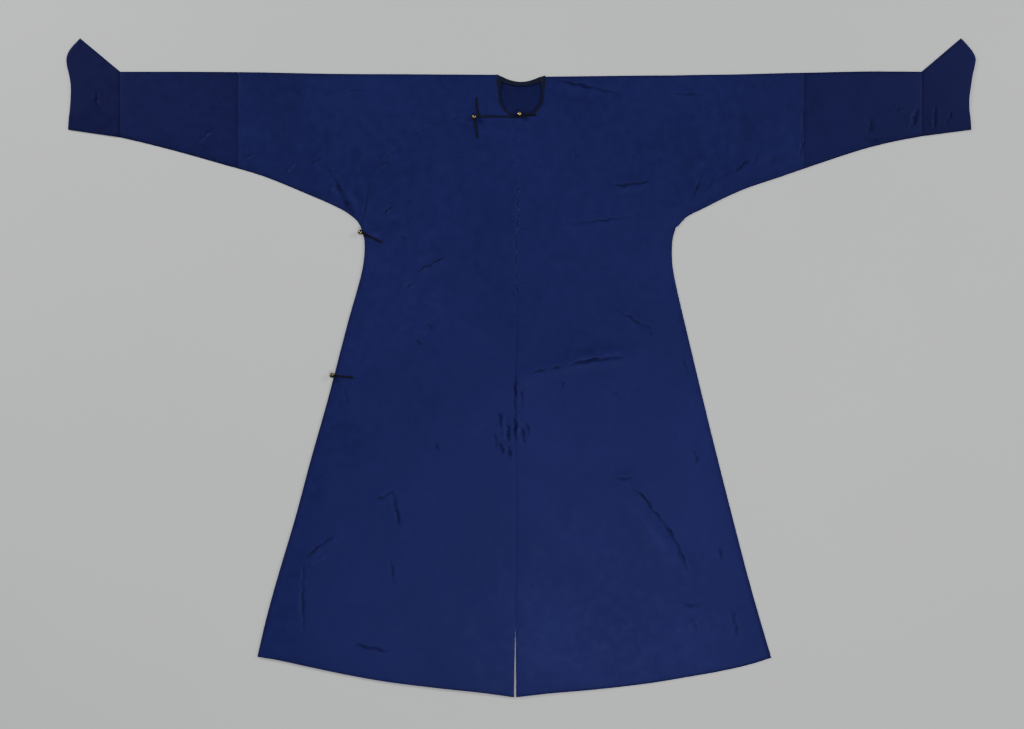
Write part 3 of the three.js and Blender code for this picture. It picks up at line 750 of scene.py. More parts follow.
def rightShown(x, y):
    shown = np.where(np.abs(x) > sideTable["right"][-1], 1, smooth((y - overlapEdge(x) + 6) / 12))
    bare = np.where(y > robe["armpitLine"] - 10, shown, 0)
    beyond = overlapGap(x, y)
    meets = 1.25 * smooth((beyond - 1) / 7) * np.exp(-np.maximum(beyond - 8, 0) / 45)
    front = rightFront(x, y) + clothDetail(x, y) * bare - 0.4 * (1 - bare) + meets * bare
    front -= np.where(y > robe["armpitLine"], turnedDown(edgeDistance(-1, x, y)), 0)
    return np.maximum(front, backLift(x, y) + layersApart)


def overlapGap(x, y):
    # how far a place lies outside the overlap's curved edge
    out = np.linspace(60, 369, 60)
    edge = np.stack([-out, overlapEdge(out)], 1)
    near = nearPath(x, y, edge, 120) & (x < -edgeRoll["end"] + 6)
    gap = np.full(x.shape, -50.0)
    distance = pathDistance(x[near], y[near], edge)[0]
    gap[near] = np.where((y[near] > overlapEdge(x[near])) | (x[near] < -368), distance, -distance)
    return gap


def overlapShown(x, y):
    front = overlapFront(x, y) + clothDetail(x, y) + seamRise(-1, x, y)
    droop = np.where(x < -edgeRoll["end"], np.exp(np.minimum(overlapGap(x, y), 0) / 4.0), 0)
    front = front - 0.55 * droop
    return np.maximum(front, rightShown(x, y) + silkWall + 0.25)


robeLeft = makeBody("robe_left", 1, leftShown, bodyCut["skirtStep"])
robeRight = makeBody("robe_right", -1, rightShown, bodyCut["plainStep"])
print("stage: body pieces", len(robeLeft.data.polygons), len(robeRight.data.polygons))


# outer overlap, from the centre seam to the wearer's right
overlapCut = {"columns": 58, "chestRows": 44, "rim": 1.4}


def makeOverlap(s):
    side = -1
    armpitX = abs(float(sideEdge(side, robe["armpitLine"])))
    centre = side * float(centreEdge(side, robe["armpitLine"]))
    out = np.linspace(0, 1, s["columns"] + 1)
    out = np.insert(out, [1, len(out) - 1], [s["rim"] / armpitX, 1 - s["rim"] / armpitX])
    reach = robe["armpitLine"] - robe["hemDrop"]
    skirt = partRows(reach, bodyCut["skirtStep"], s["rim"]) - 1
    chest = np.linspace(0, 1, s["chestRows"] + 1)
    chest = np.insert(chest, -1, 1 - s["rim"] / 250)
    parts = joined(skirt, chest)
    plan = np.zeros((len(out), len(parts), 2))
    for j, part in enumerate(parts):
        if part <= 0:
            y = mix(robe["armpitLine"], hemAt(side, out), -part)
            x = mix(centreEdge(side, y), sideEdge(side, y), out)
        else:
            column = mix(centre, armpitX, out)
            band = 2 * edgeRoll["half"] + robe["seam"]
            step = smooth((edgeRoll["end"] + 4 - column) / 4)
            y = mix(robe["armpitLine"], overlapEdge(column) - band * step, part)
            x = side * column
            x[0] = centreEdge(side, y[0])
        plan[:, j] = np.stack([x, y], 1)
    x, y = plan[..., 0], plan[..., 1]
    top = overlapShown(x, y)
    outer = np.stack([x, y, top], 2)
    inner = np.stack([x, y, top - silkWall], 2)
    has = np.ones((len(out) - 1, len(parts) - 1), bool)
    full = roundEdges(outer, inner, has)
    piece = makeWall("overlap", outer, inner, has, True, plan, full.astype(float))
    refineCreases(piece, overlapShown, lambda x, y: onCrease(x, y, creases) | nearSeam(x, y))
    return piece


overlap = makeOverlap(overlapCut)
print("stage: overlap", len(overlap.data.polygons))


# sleeves' extensions and the horse-hoof cuffs
sleeveCut = {"step": 7.5, "parts": 30, "backParts": 14, "rim": 1.4}
cuffCut = {"step": 6.0, "parts": 34, "backParts": 18, "rim": 1.4, "rimPart": 0.012}
tubeRound = 200                                       # rows are spaced for a tube this deep


def tubeFront(side):
    def front(x, y):
        away = y - sleeveUnder(side, np.abs(x))
        soft = smooth(away / robe["softReach"]) * (1 if side > 0 else 0.5)
        top = innerTop + robe["softRise"] * soft + broadFolds(x, y)
        top = top + clothDetail(x, y) - turnedDown(away)
        return np.maximum(top, backLift(x, y) + layersApart)
    return front


def wholeTube(columnX, back, front, backRows, steps, rows):
    return np.ones((len(columnX) - 1, rows), bool)


def makeTube(name, side, columnX, plan, s):
    rows = [partRows(tubeRound, tubeRound / s[key], s["rim"]) for key in ("backParts", "parts")]
    return foldedPiece(name, {
        "columnX": columnX, "backParts": rows[0], "frontParts": rows[1], "plan": plan,
        "lift": backLift, "front": tubeFront(side), "flip": side > 0, "has": wholeTube,
        "isNear": lambda x, y: onCrease(x, y, creases),
    })


def makeSleeve(name, side, s):
    start, end = robe["bodySeam"] + seamGap / 2, robe["cuffSeam"] - seamGap / 2
    columnX = evenSteps(start, end, s["step"])
    columnX = np.insert(columnX, [1, len(columnX) - 1], [start + s["rim"], end - s["rim"]])

    def plan(column, part, layer):
        y = mix(sleeveUnder(side, column), sleeveTop(side, column) - robe["foldRoot"], part)
        return side * column, y

    return makeTube(name, side, columnX, plan, s)


def makeCuff(name, side, s):
    root = robe["cuffSeam"] + seamGap / 2
    steps = np.linspace(0, 1, int(120 / s["step"]) + 1)
    steps = np.insert(steps, [1, len(steps) - 1], [s["rimPart"], 1 - s["rimPart"]])

    def plan(column, part, layer):
        low = float(sleeveUnder(side, robe["cuffSeam"]))
        fromY = mix(low, float(sleeveTop(side, robe["cuffSeam"])) - robe["foldRoot"], part)
        toX = float(readTable(mouthTable, "part", sideName(side), part))
        toY = float(readTable(mouthTable, "part", "y", part)) - robe["foldRoot"] * part
        return side * mix(root, toX, column), mix(fromY, toY, column)

    return makeTube(name, side, steps, plan, s)


sleeveLeft = makeSleeve("sleeve_left_cloth", 1, sleeveCut)
sleeveRight = makeSleeve("sleeve_right_cloth", -1, sleeveCut)
cuffLeft = makeCuff("cuff_left_cloth", 1, cuffCut)
cuffRight = makeCuff("cuff_right_cloth", -1, cuffCut)
print("stage: sleeves and cuffs")


def outwardFaces(piece):
    # turns a closed piece's faces outwards
    bm = bmesh.new()
    bm.from_mesh(piece.data)
    bmesh.ops.recalc_face_normals(bm, faces=bm.faces)
    if bm.calc_volume(signed=True) < 0:
        bmesh.ops.reverse_faces(bm, faces=bm.faces)
    bm.to_mesh(piece.data)
    bm.free()


def ringFaces(count, size, closed):
    # faces between rings of points, one after another
    faces = []
    for j in range(count if closed else count - 1):
        near, far = j * size, (j + 1) % count * size
        for k in range(size):
            after = (k + 1) % size
            faces.append((near + k, near + after, far + after, far + k))
    return faces


ringSize = 14                                         # points round a binding


def sweptBand(name, path, thick):
    # a crowned strip along path, whose points hold its place and half width
    path = np.array(path, float)
    gaps = np.hypot(*np.diff(path[:, :2], axis=0).T)
    keep = np.concatenate([[True], gaps > 0.05])
    path = path[keep]
    ahead = np.diff(path[:, :2], axis=0)
    ahead /= np.linalg.norm(ahead, axis=1)[:, None]
    before = np.concatenate([ahead[:1], ahead])
    after = np.concatenate([ahead, ahead[-1:]])
    bisector = before + after
    bisector /= np.linalg.norm(bisector, axis=1)[:, None]
    normal = np.stack([bisector[:, 1], -bisector[:, 0]], 1)
    stretch = 1 / np.maximum((normal * np.stack([before[:, 1], -before[:, 0]], 1)).sum(1), 0.55)
    along = np.concatenate([[0], np.cumsum(np.hypot(*np.diff(path[:, :2], axis=0).T))])
    total = along[-1]
    rings = []
    for j, (x, y, z, half) in enumerate(path):
        nearEnd = min(along[j], total - along[j])
        narrow = math.sqrt(min(1, 0.25 + nearEnd / (2 * half)))
        swell = 1 + 0.035 * math.sin(along[j] * 0.41) + 0.03 * math.sin(along[j] * 0.97 + 1)
        ring = []
        for k in range(ringSize):
            turn = 2 * math.pi * k / ringSize
            across = math.copysign(abs(math.cos(turn)) ** 0.8, math.cos(turn))
            up = math.copysign(abs(math.sin(turn)) ** 0.75, math.sin(turn))
            out = across * half * narrow * min(stretch[j], 1.65)
            lift = thick * (0.5 + 0.5 * up * swell)
            ring.append((x + normal[j][0] * out, y + normal[j][1] * out, z + lift))
        rings.append(ring)
    faces = ringFaces(len(rings), ringSize, False)
    last = (len(rings) - 1) * ringSize
    faces.append(tuple(range(ringSize))[::-1])
    faces.append(tuple(last + k for k in range(ringSize)))
    piece = newPiece(name, [tuple(c * toMetres for c in v) for ring in rings for v in ring], faces)
    mesh = piece.data
    uv = mesh.uv_layers.new(name="cloth")
    for face in mesh.polygons:
        for loop in face.loop_indices:
            v = mesh.loops[loop].vertex_index
            j, k = divmod(v, ringSize)
            uv.data[loop].uv = (along[j] * toMetres, k * 7 / ringSize * toMetres)
    mesh.shade_smooth()
    outwardFaces(piece)
    return piece


def at(function, x, y):
    return float(function(np.array([float(x)]), np.array([float(y)]))[0])


def makeNeckBinding(s):
    half, turnY = robe["neckHalf"], robe["neckTurn"]
    arcSteps = int(half * 1.45 / s["step"])
    sink = silkWall + 0.5
    path = []

    def put(x, y, z):
        behind = float(smooth((y - 634) / 26)) if z < 2.5 or y > 640 else 0.0
        path.append((x, y, z, mix(s["frontHalf"], s["half"], behind)))

    def onRight(x, y):
        return at(rightFront, x, y) - sink

    def onLeft(x, y):
        return at(leftFront, x, y) - sink

    onBack = silkWall + 1.0
    rightY = np.linspace(turnY + 4, s["rightCorner"] - s["cornerIn"], 7)
    leftY = np.linspace(turnY + 4, s["leftCorner"] - s["cornerIn"], 7)
    for k in range(arcSteps + 1):
        turn = mix(s["rightTurn"], math.pi / 2, k / arcSteps)
        x, y = -half * math.sin(turn), turnY - half * math.cos(turn)
        put(x, y, onRight(x, y))
    for y in rightY:
        put(-half, y, onRight(-half, y))
    put(-half + 0.5, s["rightCorner"], mix(onRight(-half, 667), onBack, 0.5))
    steps = int(2 * half / s["step"])
    for k in range(steps + 1):
        x = mix(-half + s["cornerIn"], half - s["cornerIn"], k / steps)
        level = backBandLine(x) - s["backDown"]
        put(x, min(level, s["leftCorner"]) if x > 0 else level, onBack)
    put(half - 0.5, s["leftCorner"], mix(onLeft(half, 660), onBack, 0.5))
    for y in leftY[::-1]:
        put(half, y, onLeft(half, y))
    for k in range(arcSteps, -1, -1):
        turn = mix(s["leftTurn"], math.pi / 2, k / arcSteps)
        x, y = half * math.sin(turn), turnY - half * math.cos(turn)
        put(x, y, onLeft(x, y))
    return sweptBand("neck_roll", path, s["thick"])


def makeEdgeBinding(s):
    steps = int((s["end"] - s["start"]) / s["step"])
    path = []
    for k in range(steps + 1):
        x = -mix(s["start"], s["end"], k / steps)
        y = float(overlapEdge(x)) - s["half"]
        path.append((x, y, at(overlapFront, x, y) - silkWall - 0.4, s["half"]))
    return sweptBand("overlap_roll", path, s["thick"])


neckBinding = makeNeckBinding(neckRoll)
edgeBinding = makeEdgeBinding(edgeRoll)
print("stage: bindings")


# loops and straps: a covered cord laid double and sewn down, its bight round the button
fastenings = {
    "neck": {"at": (-4, 580), "to": (35, 580.5), "lift": 0.6, "front": leftFront, "hook": 0},
    "chest": {"at": (-107, 574), "to": (-101.7, 526), "lift": 0.3, "front": overlapFront, "hook": 1.5},
    "armpit": {"at": (-368, 310), "to": (-318, 291), "lift": 0.3, "front": overlapFront, "hook": -4},
    "side": {"at": (-433.5, -18), "to": (-385, -24), "lift": 0.3, "front": overlapFront, "hook": 1},
}
cord = {"radius": 1.12, "spread": 1.16, "eye": 4.0, "height": 0.85, "ring": 8, "step": 1.5, "tab": 9.0}
chestStrap = {"at": (-103, 578.6), "to": (-101.5, 621), "bow": 1.0, "rootBow": -6.0}


def cordLine(start, end, eye, bow, rootBow):
    # out along one side, round the bight, back along the other side
    (x, y), (ux, uy, length) = start, heading(start, end)
    spread, radius = cord["spread"], cord["eye"]
    local = []
    if eye:
        mouth = math.asin(spread / radius)
        tail = radius * math.cos(mouth) + 1.6
        count = 22
        for k in range(count + 1):
            turn = mix(mouth * 1.3, 2 * math.pi - mouth * 1.3, k / count)
            local.append((radius * math.cos(turn), radius * math.sin(turn)))
    else:
        tail = spread
        for k in range(9):
            turn = mix(math.pi / 2, 3 * math.pi / 2, k / 8)
            local.append((tail + spread * math.cos(turn), spread * math.sin(turn)))
    reach = length - spread - cord["radius"]
    steps = max(3, int((reach - tail) / cord["step"]))
    for k in range(steps + 1):
        local.append((mix(tail, reach, k / steps), -spread))
    for k in range(1, 8):
        turn = mix(-math.pi / 2, math.pi / 2, k / 8)
        local.append((reach + spread * math.cos(turn), spread * math.sin(turn)))
    for k in range(steps + 1):
        local.append((mix(reach, tail, k / steps), spread))
    points = []
    for along, across in local:
        part = along / length
        bent = bow * float(smooth(part * 1.2)) * part + rootBow * max(0, 1 - part) ** 3
        points.append((x + ux * along - uy * (across + bent), y + uy * along + ux * (across + bent)))
    return points


def cordLoop(name, start, end, floor, eye, bow, rootBow=0):
    line = np.array(cordLine(start, end, eye, bow, rootBow))
    count, size = len(line), cord["ring"]
    ahead = np.roll(line, -1, 0) - np.roll(line, 1, 0)
    ahead /= np.maximum(np.linalg.norm(ahead, axis=1)[:, None], 1e-9)
    along = np.concatenate([[0], np.cumsum(np.hypot(*np.diff(line, axis=0).T))])
    verts = []
    for j, (x, y) in enumerate(line):
        base = floor(x, y)
        thick = cord["radius"] * (1 + 0.05 * math.sin(along[j] * 1.9) + 0.04 * math.sin(along[j] * 0.7))
        for k in range(size):
            turn = 2 * math.pi * k / size
            out = thick * math.cos(turn)
            up = thick * cord["height"] * (1 + math.sin(turn))
            place = (x + ahead[j][1] * out, y - ahead[j][0] * out, base + up)
            verts.append(tuple(c * toMetres for c in place))
    piece = newPiece(name, verts, ringFaces(count, size, True))
    mesh = piece.data
    uv = mesh.uv_layers.new(name="cloth")
    for n, face in enumerate(mesh.polygons):
        j, k = divmod(n, size)
        after = along[j + 1] if j + 1 < count else along[-1] + cord["step"]
        corners = ((along[j], k), (along[j], k + 1), (after, k + 1), (after, k))
        for loop, (u, v) in zip(face.loop_indices, corners):
            uv.data[loop].uv = (u * toMetres, v * 0.9 * toMetres)
    mesh.shade_smooth()
    outwardFaces(piece)
    return piece


def overCloth(f):
    # the height at which a fastening lies
    return lambda x, y: at(f["front"], x, y) + f["lift"]


loops, straps = {}, {}
onSideEdge = ("armpit", "side")                       # their straps stand out from the back's edge
tabFloor = robe["wall"] + robe["seam"]
for name, f in fastenings.items():
    loops[name] = cordLoop(f"{name}_loop_cord", f["at"], f["to"], overCloth(f), True, f["hook"])
    if name in onSideEdge:
        level = f["at"][1]
        edge = min(float(sideEdge(-1, level + reach)) for reach in (-2.4, 2.4)) - 0.7
        start, end = (edge - cord["tab"] + 0.1, level), (edge, level)
        straps[name] = cordLoop(f"{name}_strap_cord", start, end, lambda x, y: tabFloor, False, 0)
straps["chest"] = cordLoop("chest_strap_cord", chestStrap["at"], chestStrap["to"],
                           lambda x, y: at(rightShown, x, y) + 0.1, False, chestStrap["bow"],
                           chestStrap["rootBow"])
print("stage: loops and straps")


# ball buttons, turned brass on a shank
button = {
    "radius": 6.0, "neck": 1.7, "collar": 2.9, "seatGap": 2.1, "tabGap": 2.1, "turns": 40, "steps": 22,
}


def makeButton(name, x, y, bottom, seat, s):
    radius, neck, collar = s["radius"], s["neck"], s["collar"]
    start = math.asin(collar / radius)
    middle = seat + radius * math.cos(start)
    profile = [(0, bottom), (neck * 0.96, bottom), (neck, bottom + 0.15), (neck, seat - 0.5),
               (collar * 0.8, seat - 0.25), (collar, seat)]
    for k in range(1, s["steps"] + 1):
        turn = mix(math.pi - start, 0, k / s["steps"])
        profile.append((radius * math.sin(turn), middle + radius * math.cos(turn)))
    profile[-1] = (0, middle + radius)
    turns, rings = s["turns"], len(profile) - 2
    verts = [(x, y, profile[0][1])]
    for r, z in profile[1:-1]:
        for k in range(turns):
            a = 2 * math.pi * k / turns
            verts.append((x + r * math.cos(a), y + r * math.sin(a), z))
    verts.append((x, y, profile[-1][1]))
    faces = [(0, 1 + (k + 1) % turns, 1 + k) for k in range(turns)]
    faces += [tuple(1 + v for v in face) for face in ringFaces(rings, turns, False)]
    top, last = len(verts) - 1, 1 + (rings - 1) * turns
    faces += [(last + k, last + (k + 1) % turns, top) for k in range(turns)]
    piece = newPiece(name, [tuple(c * toMetres for c in v) for v in verts], faces)
    piece.data.shade_smooth()
    piece.data.set_sharp_from_angle(angle=math.radians(50))
    outwardFaces(piece)
    return piece


buttons = {}
for name, f in fastenings.items():
    x, y = f["at"]
    cloth = overCloth(f)(x, y)
    bottom = tabFloor + button["tabGap"] if name in onSideEdge else cloth
    buttons[name] = makeButton(f"{name}_ball", x, y, bottom, cloth + button["seatGap"], button)
print("stage: buttons")


# how raised each place of the cloth is, and how light: painted shade along the edges and the folded tops
# where the cloth rolls down, darker seams and sleeves, and painted light on the skirt towards the hem
clothShadeAndTone = {"edge": 0.36, "edgeReach": 4.4, "seam": 0.22, "sleeve": 0.15, "skirt": 0.045}


def markCloth(piece, side):
    s = clothShadeAndTone
    mesh = piece.data
    places = np.empty(len(mesh.vertices) * 3)
    mesh.vertices.foreach_get("co", places)
    x, y, z = (places.reshape(-1, 3) / toMetres).T
    out = np.abs(x)
    under = edgeDistance(side, x, y) - 0.14 * np.maximum(out - robe["cuffSeam"], 0)
    away = np.minimum(under, np.where(out < robe["cuffSeam"], sleeveTop(side, out) - y, 99))
    # painted shade: darker within a few millimetres of each edge and of the fold along the top
    tone = 1 - s["edge"] * np.exp(-np.maximum(away, 0) / s["edgeReach"])
    for line in (robe["bodySeam"], robe["cuffSeam"]):
        tone *= 1 - s["seam"] * np.exp(-(((out - line) / 1.6) ** 2))
    tone *= 1 - s["sleeve"] * smooth((out - 370) / 200) * (y > robe["armpitLine"])
    # painted light: the skirt grows lighter towards the hem
    tone *= 1 + s["skirt"] * smooth((250 - y) / 800)
    # raised steers the painted shade in crease troughs and the worn, partly painted highlight on the crests
    raised = np.clip(creaseRise(x, y, creases) / 1.5, -1, 1) * (z > 2.2)
    markPoints(mesh, tone=tone, raised=raised)


for piece, side in ((robeLeft, 1), (robeRight, -1), (overlap, -1), (sleeveLeft, 1),
                    (sleeveRight, -1), (cuffLeft, 1), (cuffRight, -1)):
    markCloth(piece, side)


# finishes
def setInputs(node, inputs):
    for key, value in inputs.items():
        node.inputs[key].default_value = value


def addNode(tree, kind, settings=None, inputs=None):
    node = tree.nodes.new(kind)
    for key, value in (settings or {}).items():
        setattr(node, key, value)
    setInputs(node, inputs or {})
    return node


def joinNodes(tree, *links):
    for a, out, b, into in links:
        tree.links.new(a.outputs[out], b.inputs[into])


def addNoise(tree, place, scale, detail, rough=0.5, out="Object"):
    noise = addNode(tree, "ShaderNodeTexNoise", None, {"Scale": scale, "Detail": detail, "Roughness": rough})
    joinNodes(tree, (place, out, noise, "Vector"))
    return noise


def addThreads(tree, place, out, direction, pitch, distortion):
    # parallel threads, pitch millimetres apart
    threads = addNode(tree, "ShaderNodeTexWave", {"bands_direction": direction},
                      {"Scale": 0.314 / (pitch * toMetres), "Distortion": distortion})
    joinNodes(tree, (place, out, threads, "Vector"))
    return threads


def addRange(tree, source, low, high, toLow, toHigh):
    # a pattern stretched between two values
    stretched = addNode(tree, "ShaderNodeMapRange", None,
                        {"From Min": low, "From Max": high, "To Min": toLow, "To Max": toHigh})
    joinNodes(tree, (source, "Fac", stretched, "Value"))
    return stretched


def addRamp(tree, source, out, *stops):
    # a pattern as colours, each at its place along the ramp
    ramp = addNode(tree, "ShaderNodeValToRGB")
    elements = ramp.color_ramp.elements
    for element, (place, colour) in ((elements[0], stops[0]), (elements[1], stops[-1])):
        element.position, element.color = place, shade(*colour)
    for place, colour in stops[1:-1]:
        elements.new(place).color = shade(*colour)
    joinNodes(tree, (source, out, ramp, "Fac"))
    return ramp


def multiplied(tree, colour, out, pattern, patternOut, factor=1.0):
    node = addNode(tree, "ShaderNodeMix", {"data_type": "RGBA", "blend_type": "MULTIPLY"}, {"Factor": factor})
    joinNodes(tree, (colour, out, node, 6), (pattern, patternOut, node, 7))
    return node


def rubbedAndHighlit(tree, colour, out, wornAndHighlight, where, whereOut):
    # a worn colour where a pattern is high; on the silk's crease crests it is also a painted highlight
    node = addNode(tree, "ShaderNodeMix", {"data_type": "RGBA"}, {7: shade(*wornAndHighlight)})
    joinNodes(tree, (colour, out, node, 6), (where, whereOut, node, "Factor"))
    return node


def addGloss(tree, source, rough, shader):
    gloss = addRange(tree, source, 0.3, 0.7, *rough)
    joinNodes(tree, (gloss, "Result", shader, "Roughness"))


def addBump(tree, source, out, strength, distance, onto):
    bump = addNode(tree, "ShaderNodeBump", None, {"Strength": strength, "Distance": distance})
    joinNodes(tree, (source, out, bump, "Height"), (bump, "Normal", onto, "Normal"))
    return bump


def newMaterial(name):
    material = bpy.data.materials.new(name)
    material.use_nodes = True
    tree = material.node_tree
    return material, tree, tree.nodes["Principled BSDF"], addNode(tree, "ShaderNodeTexCoord")


def shade(r, g, b):
    # a colour as read, 0 to 255, for the shader
    return tuple(((c / 255 + 0.055) / 1.055) ** 2.4 if c > 10 else c / 255 / 12.92 for c in (r, g, b)) + (1,)


# the worn colour lights the crease crests: partly rubbed wear, partly a painted highlight
robeSilk = {
    "dark": (24.6, 24.8, 73.8), "light": (30.4, 30.5, 85.6), "wornAndHighlight": (45, 47, 104), "mottle": 46.0,
    "cloud": 3.2, "thread": 1.15, "slub": 170.0, "rough": (0.42, 0.56), "sheen": 0.03, "sheenRough": 0.4,
    "sheenTint": (0.25, 0.36, 0.9, 1), "specular": 0.3, "specularTint": (0.26, 0.28, 0.86, 1),
    "weaveBump": 0.10, "crinkle": 0.13, "lining": 0.66,
}
sleeveSilk = dict(robeSilk, dark=(20.2, 19.3, 63.4), light=(24.9, 24, 74.6), wornAndHighlight=(37, 37, 90))
cuffSilk = dict(robeSilk, dark=(16.3, 14.9, 55.7), light=(20.9, 19.6, 66.4), wornAndHighlight=(32, 31, 80), slub=140.0)


def silkMaterial(name, s):
    material, tree, shader, place = newMaterial(name)
    cut = addNode(tree, "ShaderNodeUVMap", {"uv_map": "cloth"})
    cloud = addNoise(tree, place, s["cloud"], 3.0, 0.55)
    mottle = addNoise(tree, place, s["mottle"], 5.0, 0.62)
    mottled = addNode(tree, "ShaderNodeMix", None, {"Factor": 0.42})
    joinNodes(tree, (cloud, "Fac", mottled, "A"), (mottle, "Fac", mottled, "B"))
    dyed = addRamp(tree, mottled, "Result", (0.36, s["dark"]), (0.66, s["light"]))

    # slubs run along the warp
    drawn = addNode(tree, "ShaderNodeMapping", None, {"Scale": (1.0, 0.06, 1.0)})
    joinNodes(tree, (cut, "UV", drawn, "Vector"))
    slub = addRange(tree, addNoise(tree, drawn, s["slub"] * 4, 2.0, out="Vector"), 0.3, 0.7, 0.8, 1.12)
    slubbed = multiplied(tree, dyed, "Color", slub, "Result", 0.5)

    # crests rubbed lighter, partly wear and partly a painted highlight, and painted shade darkening the
    # troughs
    raised = addNode(tree, "ShaderNodeAttribute", {"attribute_name": "raised"})
    crest = addRange(tree, raised, 0.15, 0.9, 0.0, 0.5)
    patchy = addNode(tree, "ShaderNodeMath", {"operation": "MULTIPLY"})
    joinNodes(tree, (crest, "Result", patchy, 0), (mottle, "Fac", patchy, 1))
    wornAndHighlight = rubbedAndHighlit(tree, slubbed, 2, s["wornAndHighlight"], patchy, "Value")
    # painted shade in the crease troughs
    deep = multiplied(tree, wornAndHighlight, 2, addRange(tree, raised, -0.9, 0.0, 0.5, 1.0), "Result")

    # the lining inside is darker; the cloth's tone attribute brings the painted shade along the edges and the
    # painted light on the skirt
    inside = addNode(tree, "ShaderNodeAttribute", {"attribute_name": "lining"})
    light = addNode(tree, "ShaderNodeAttribute", {"attribute_name": "tone"})
    lit = addNode(tree, "ShaderNodeMath", {"operation": "MULTIPLY"})
    lining = addRange(tree, inside, 0.0, 1.0, 1.0, s["lining"])
    joinNodes(tree, (lining, "Result", lit, 0), (light, "Fac", lit, 1))
    joinNodes(tree, (multiplied(tree, deep, 2, lit, "Value"), 2, shader, "Base Color"))
    addGloss(tree, mottle, s["rough"], shader)
    setInputs(shader, {
        "Sheen Weight": s["sheen"], "Sheen Roughness": s["sheenRough"], "Sheen Tint": s["sheenTint"],
        "Specular IOR Level": s["specular"], "Specular Tint": s["specularTint"],
    })

    # plain weave: warp and weft threads, with a fine crinkle over them
    weave = addNode(tree, "ShaderNodeMath", {"operation": "MAXIMUM"})
    for n, direction in enumerate("XY"):
        joinNodes(tree, (addThreads(tree, cut, "UV", direction, s["thread"], 0.6), "Fac", weave, n))
    fine = addBump(tree, weave, "Value", s["weaveBump"], 0.0004, shader)
    addBump(tree, addNoise(tree, place, 85.0, 4.0, 0.55), "Fac", s["crinkle"], 0.0011, fine)
    return material


bindingCloth = {
    "dark": (6, 10, 30), "light": (15, 20, 48), "wornAndHighlight": (29, 34, 66), "rib": 0.9, "rough": (0.5, 0.7),
    "sheen": 0.02, "specular": 0.14, "bump": 0.35,
}
cordCloth = dict(bindingCloth, dark=(9, 10, 18), light=(22, 22, 32), wornAndHighlight=(46, 40, 42), rib=0.75)


def bindingMaterial(name, s):
    # satin cut on the bias: ribs cross the roll at a slant
    material, tree, shader, place = newMaterial(name)
    cut = addNode(tree, "ShaderNodeUVMap", {"uv_map": "cloth"})
    slant = addNode(tree, "ShaderNodeMapping", None, {"Rotation": (0, 0, 0.78)})
    joinNodes(tree, (cut, "UV", slant, "Vector"))
    rib = addThreads(tree, slant, "Vector", "X", s["rib"], 1.2)
    rub = addNoise(tree, place, 90.0, 4.0, 0.6)
    dyed = addRamp(tree, rib, "Fac", (0.3, s["dark"]), (0.78, s["light"]))
    thin = addRange(tree, rub, 0.58, 0.78, 0.0, 0.6)
    joinNodes(tree, (rubbedAndHighlit(tree, dyed, "Color", s["wornAndHighlight"], thin, "Result"), 2, shader, "Base Color"))
    addGloss(tree, rub, s["rough"], shader)
    addBump(tree, rib, "Fac", s["bump"], 0.0004, shader)
    setInputs(shader, {"Sheen Weight": s["sheen"], "Specular IOR Level": s["specular"]})
    return material


gilt = {
    "bright": (186, 166, 116), "dull": (88, 82, 54), "green": (46, 60, 46),
    "rough": (0.14, 0.32), "bump": 0.1,
}


def giltMaterial(name, s):
    # gilt brass, rubbed bright in places and tarnished a little green in others
    material, tree, shader, place = newMaterial(name)
    spots = addNoise(tree, place, 420.0, 4.0, 0.6)
    patches = addNoise(tree, place, 130.0, 3.0, 0.5)
    metal = addRamp(tree, patches, "Fac", (0.34, s["green"]), (0.47, s["dull"]), (0.66, s["bright"]))
    joinNodes(tree, (metal, "Color", shader, "Base Color"))
    addGloss(tree, spots, s["rough"][::-1], shader)
    addBump(tree, spots, "Fac", s["bump"], 0.0003, shader)
    setInputs(shader, {"Metallic": 1.0})
    return material


thread = {"dark": (13, 17, 48), "light": (29, 36, 86), "rough": 0.75, "specular": 0.2}


def threadMaterial(name, s):
    material, tree, shader, place = newMaterial(name)
    twist = addNoise(tree, place, 900.0, 2.0)
    dyed = addRamp(tree, twist, "Fac", (0.35, s["dark"]), (0.65, s["light"]))
    joinNodes(tree, (dyed, "Color", shader, "Base Color"))
    addBump(tree, twist, "Fac", 0.3, 0.0002, shader)
    setInputs(shader, {"Roughness": s["rough"], "Specular IOR Level": s["specular"]})
    return material


finishes = {
    "robe": silkMaterial("navy_robe_silk", robeSilk),
    "sleeve": silkMaterial("navy_sleeve_silk", sleeveSilk),
    "cuff": silkMaterial("navy_cuff_silk", cuffSilk),
    "binding": bindingMaterial("black_binding_satin", bindingCloth),
    "cord": bindingMaterial("black_cord_cloth", cordCloth),
    "gilt": giltMaterial("gilt_brass", gilt),
    "thread": threadMaterial("navy_sewing_thread", thread),
}
print("stage: finishes")


# stitches: Geometry Nodes set a short capsule at even spaces along sewing lines
sewing = {"spacing": 4.2, "length": 1.5, "thick": 0.34, "uneven": 0.22, "seed": 7}
seamSewing = {"spacing": 3.2, "length": 2.0, "thick": 0.36, "uneven": 0.3, "seed": 11}
tyings = {"spacing": 4.6, "length": 3.5, "thick": 0.4, "uneven": 0.12, "seed": 3}


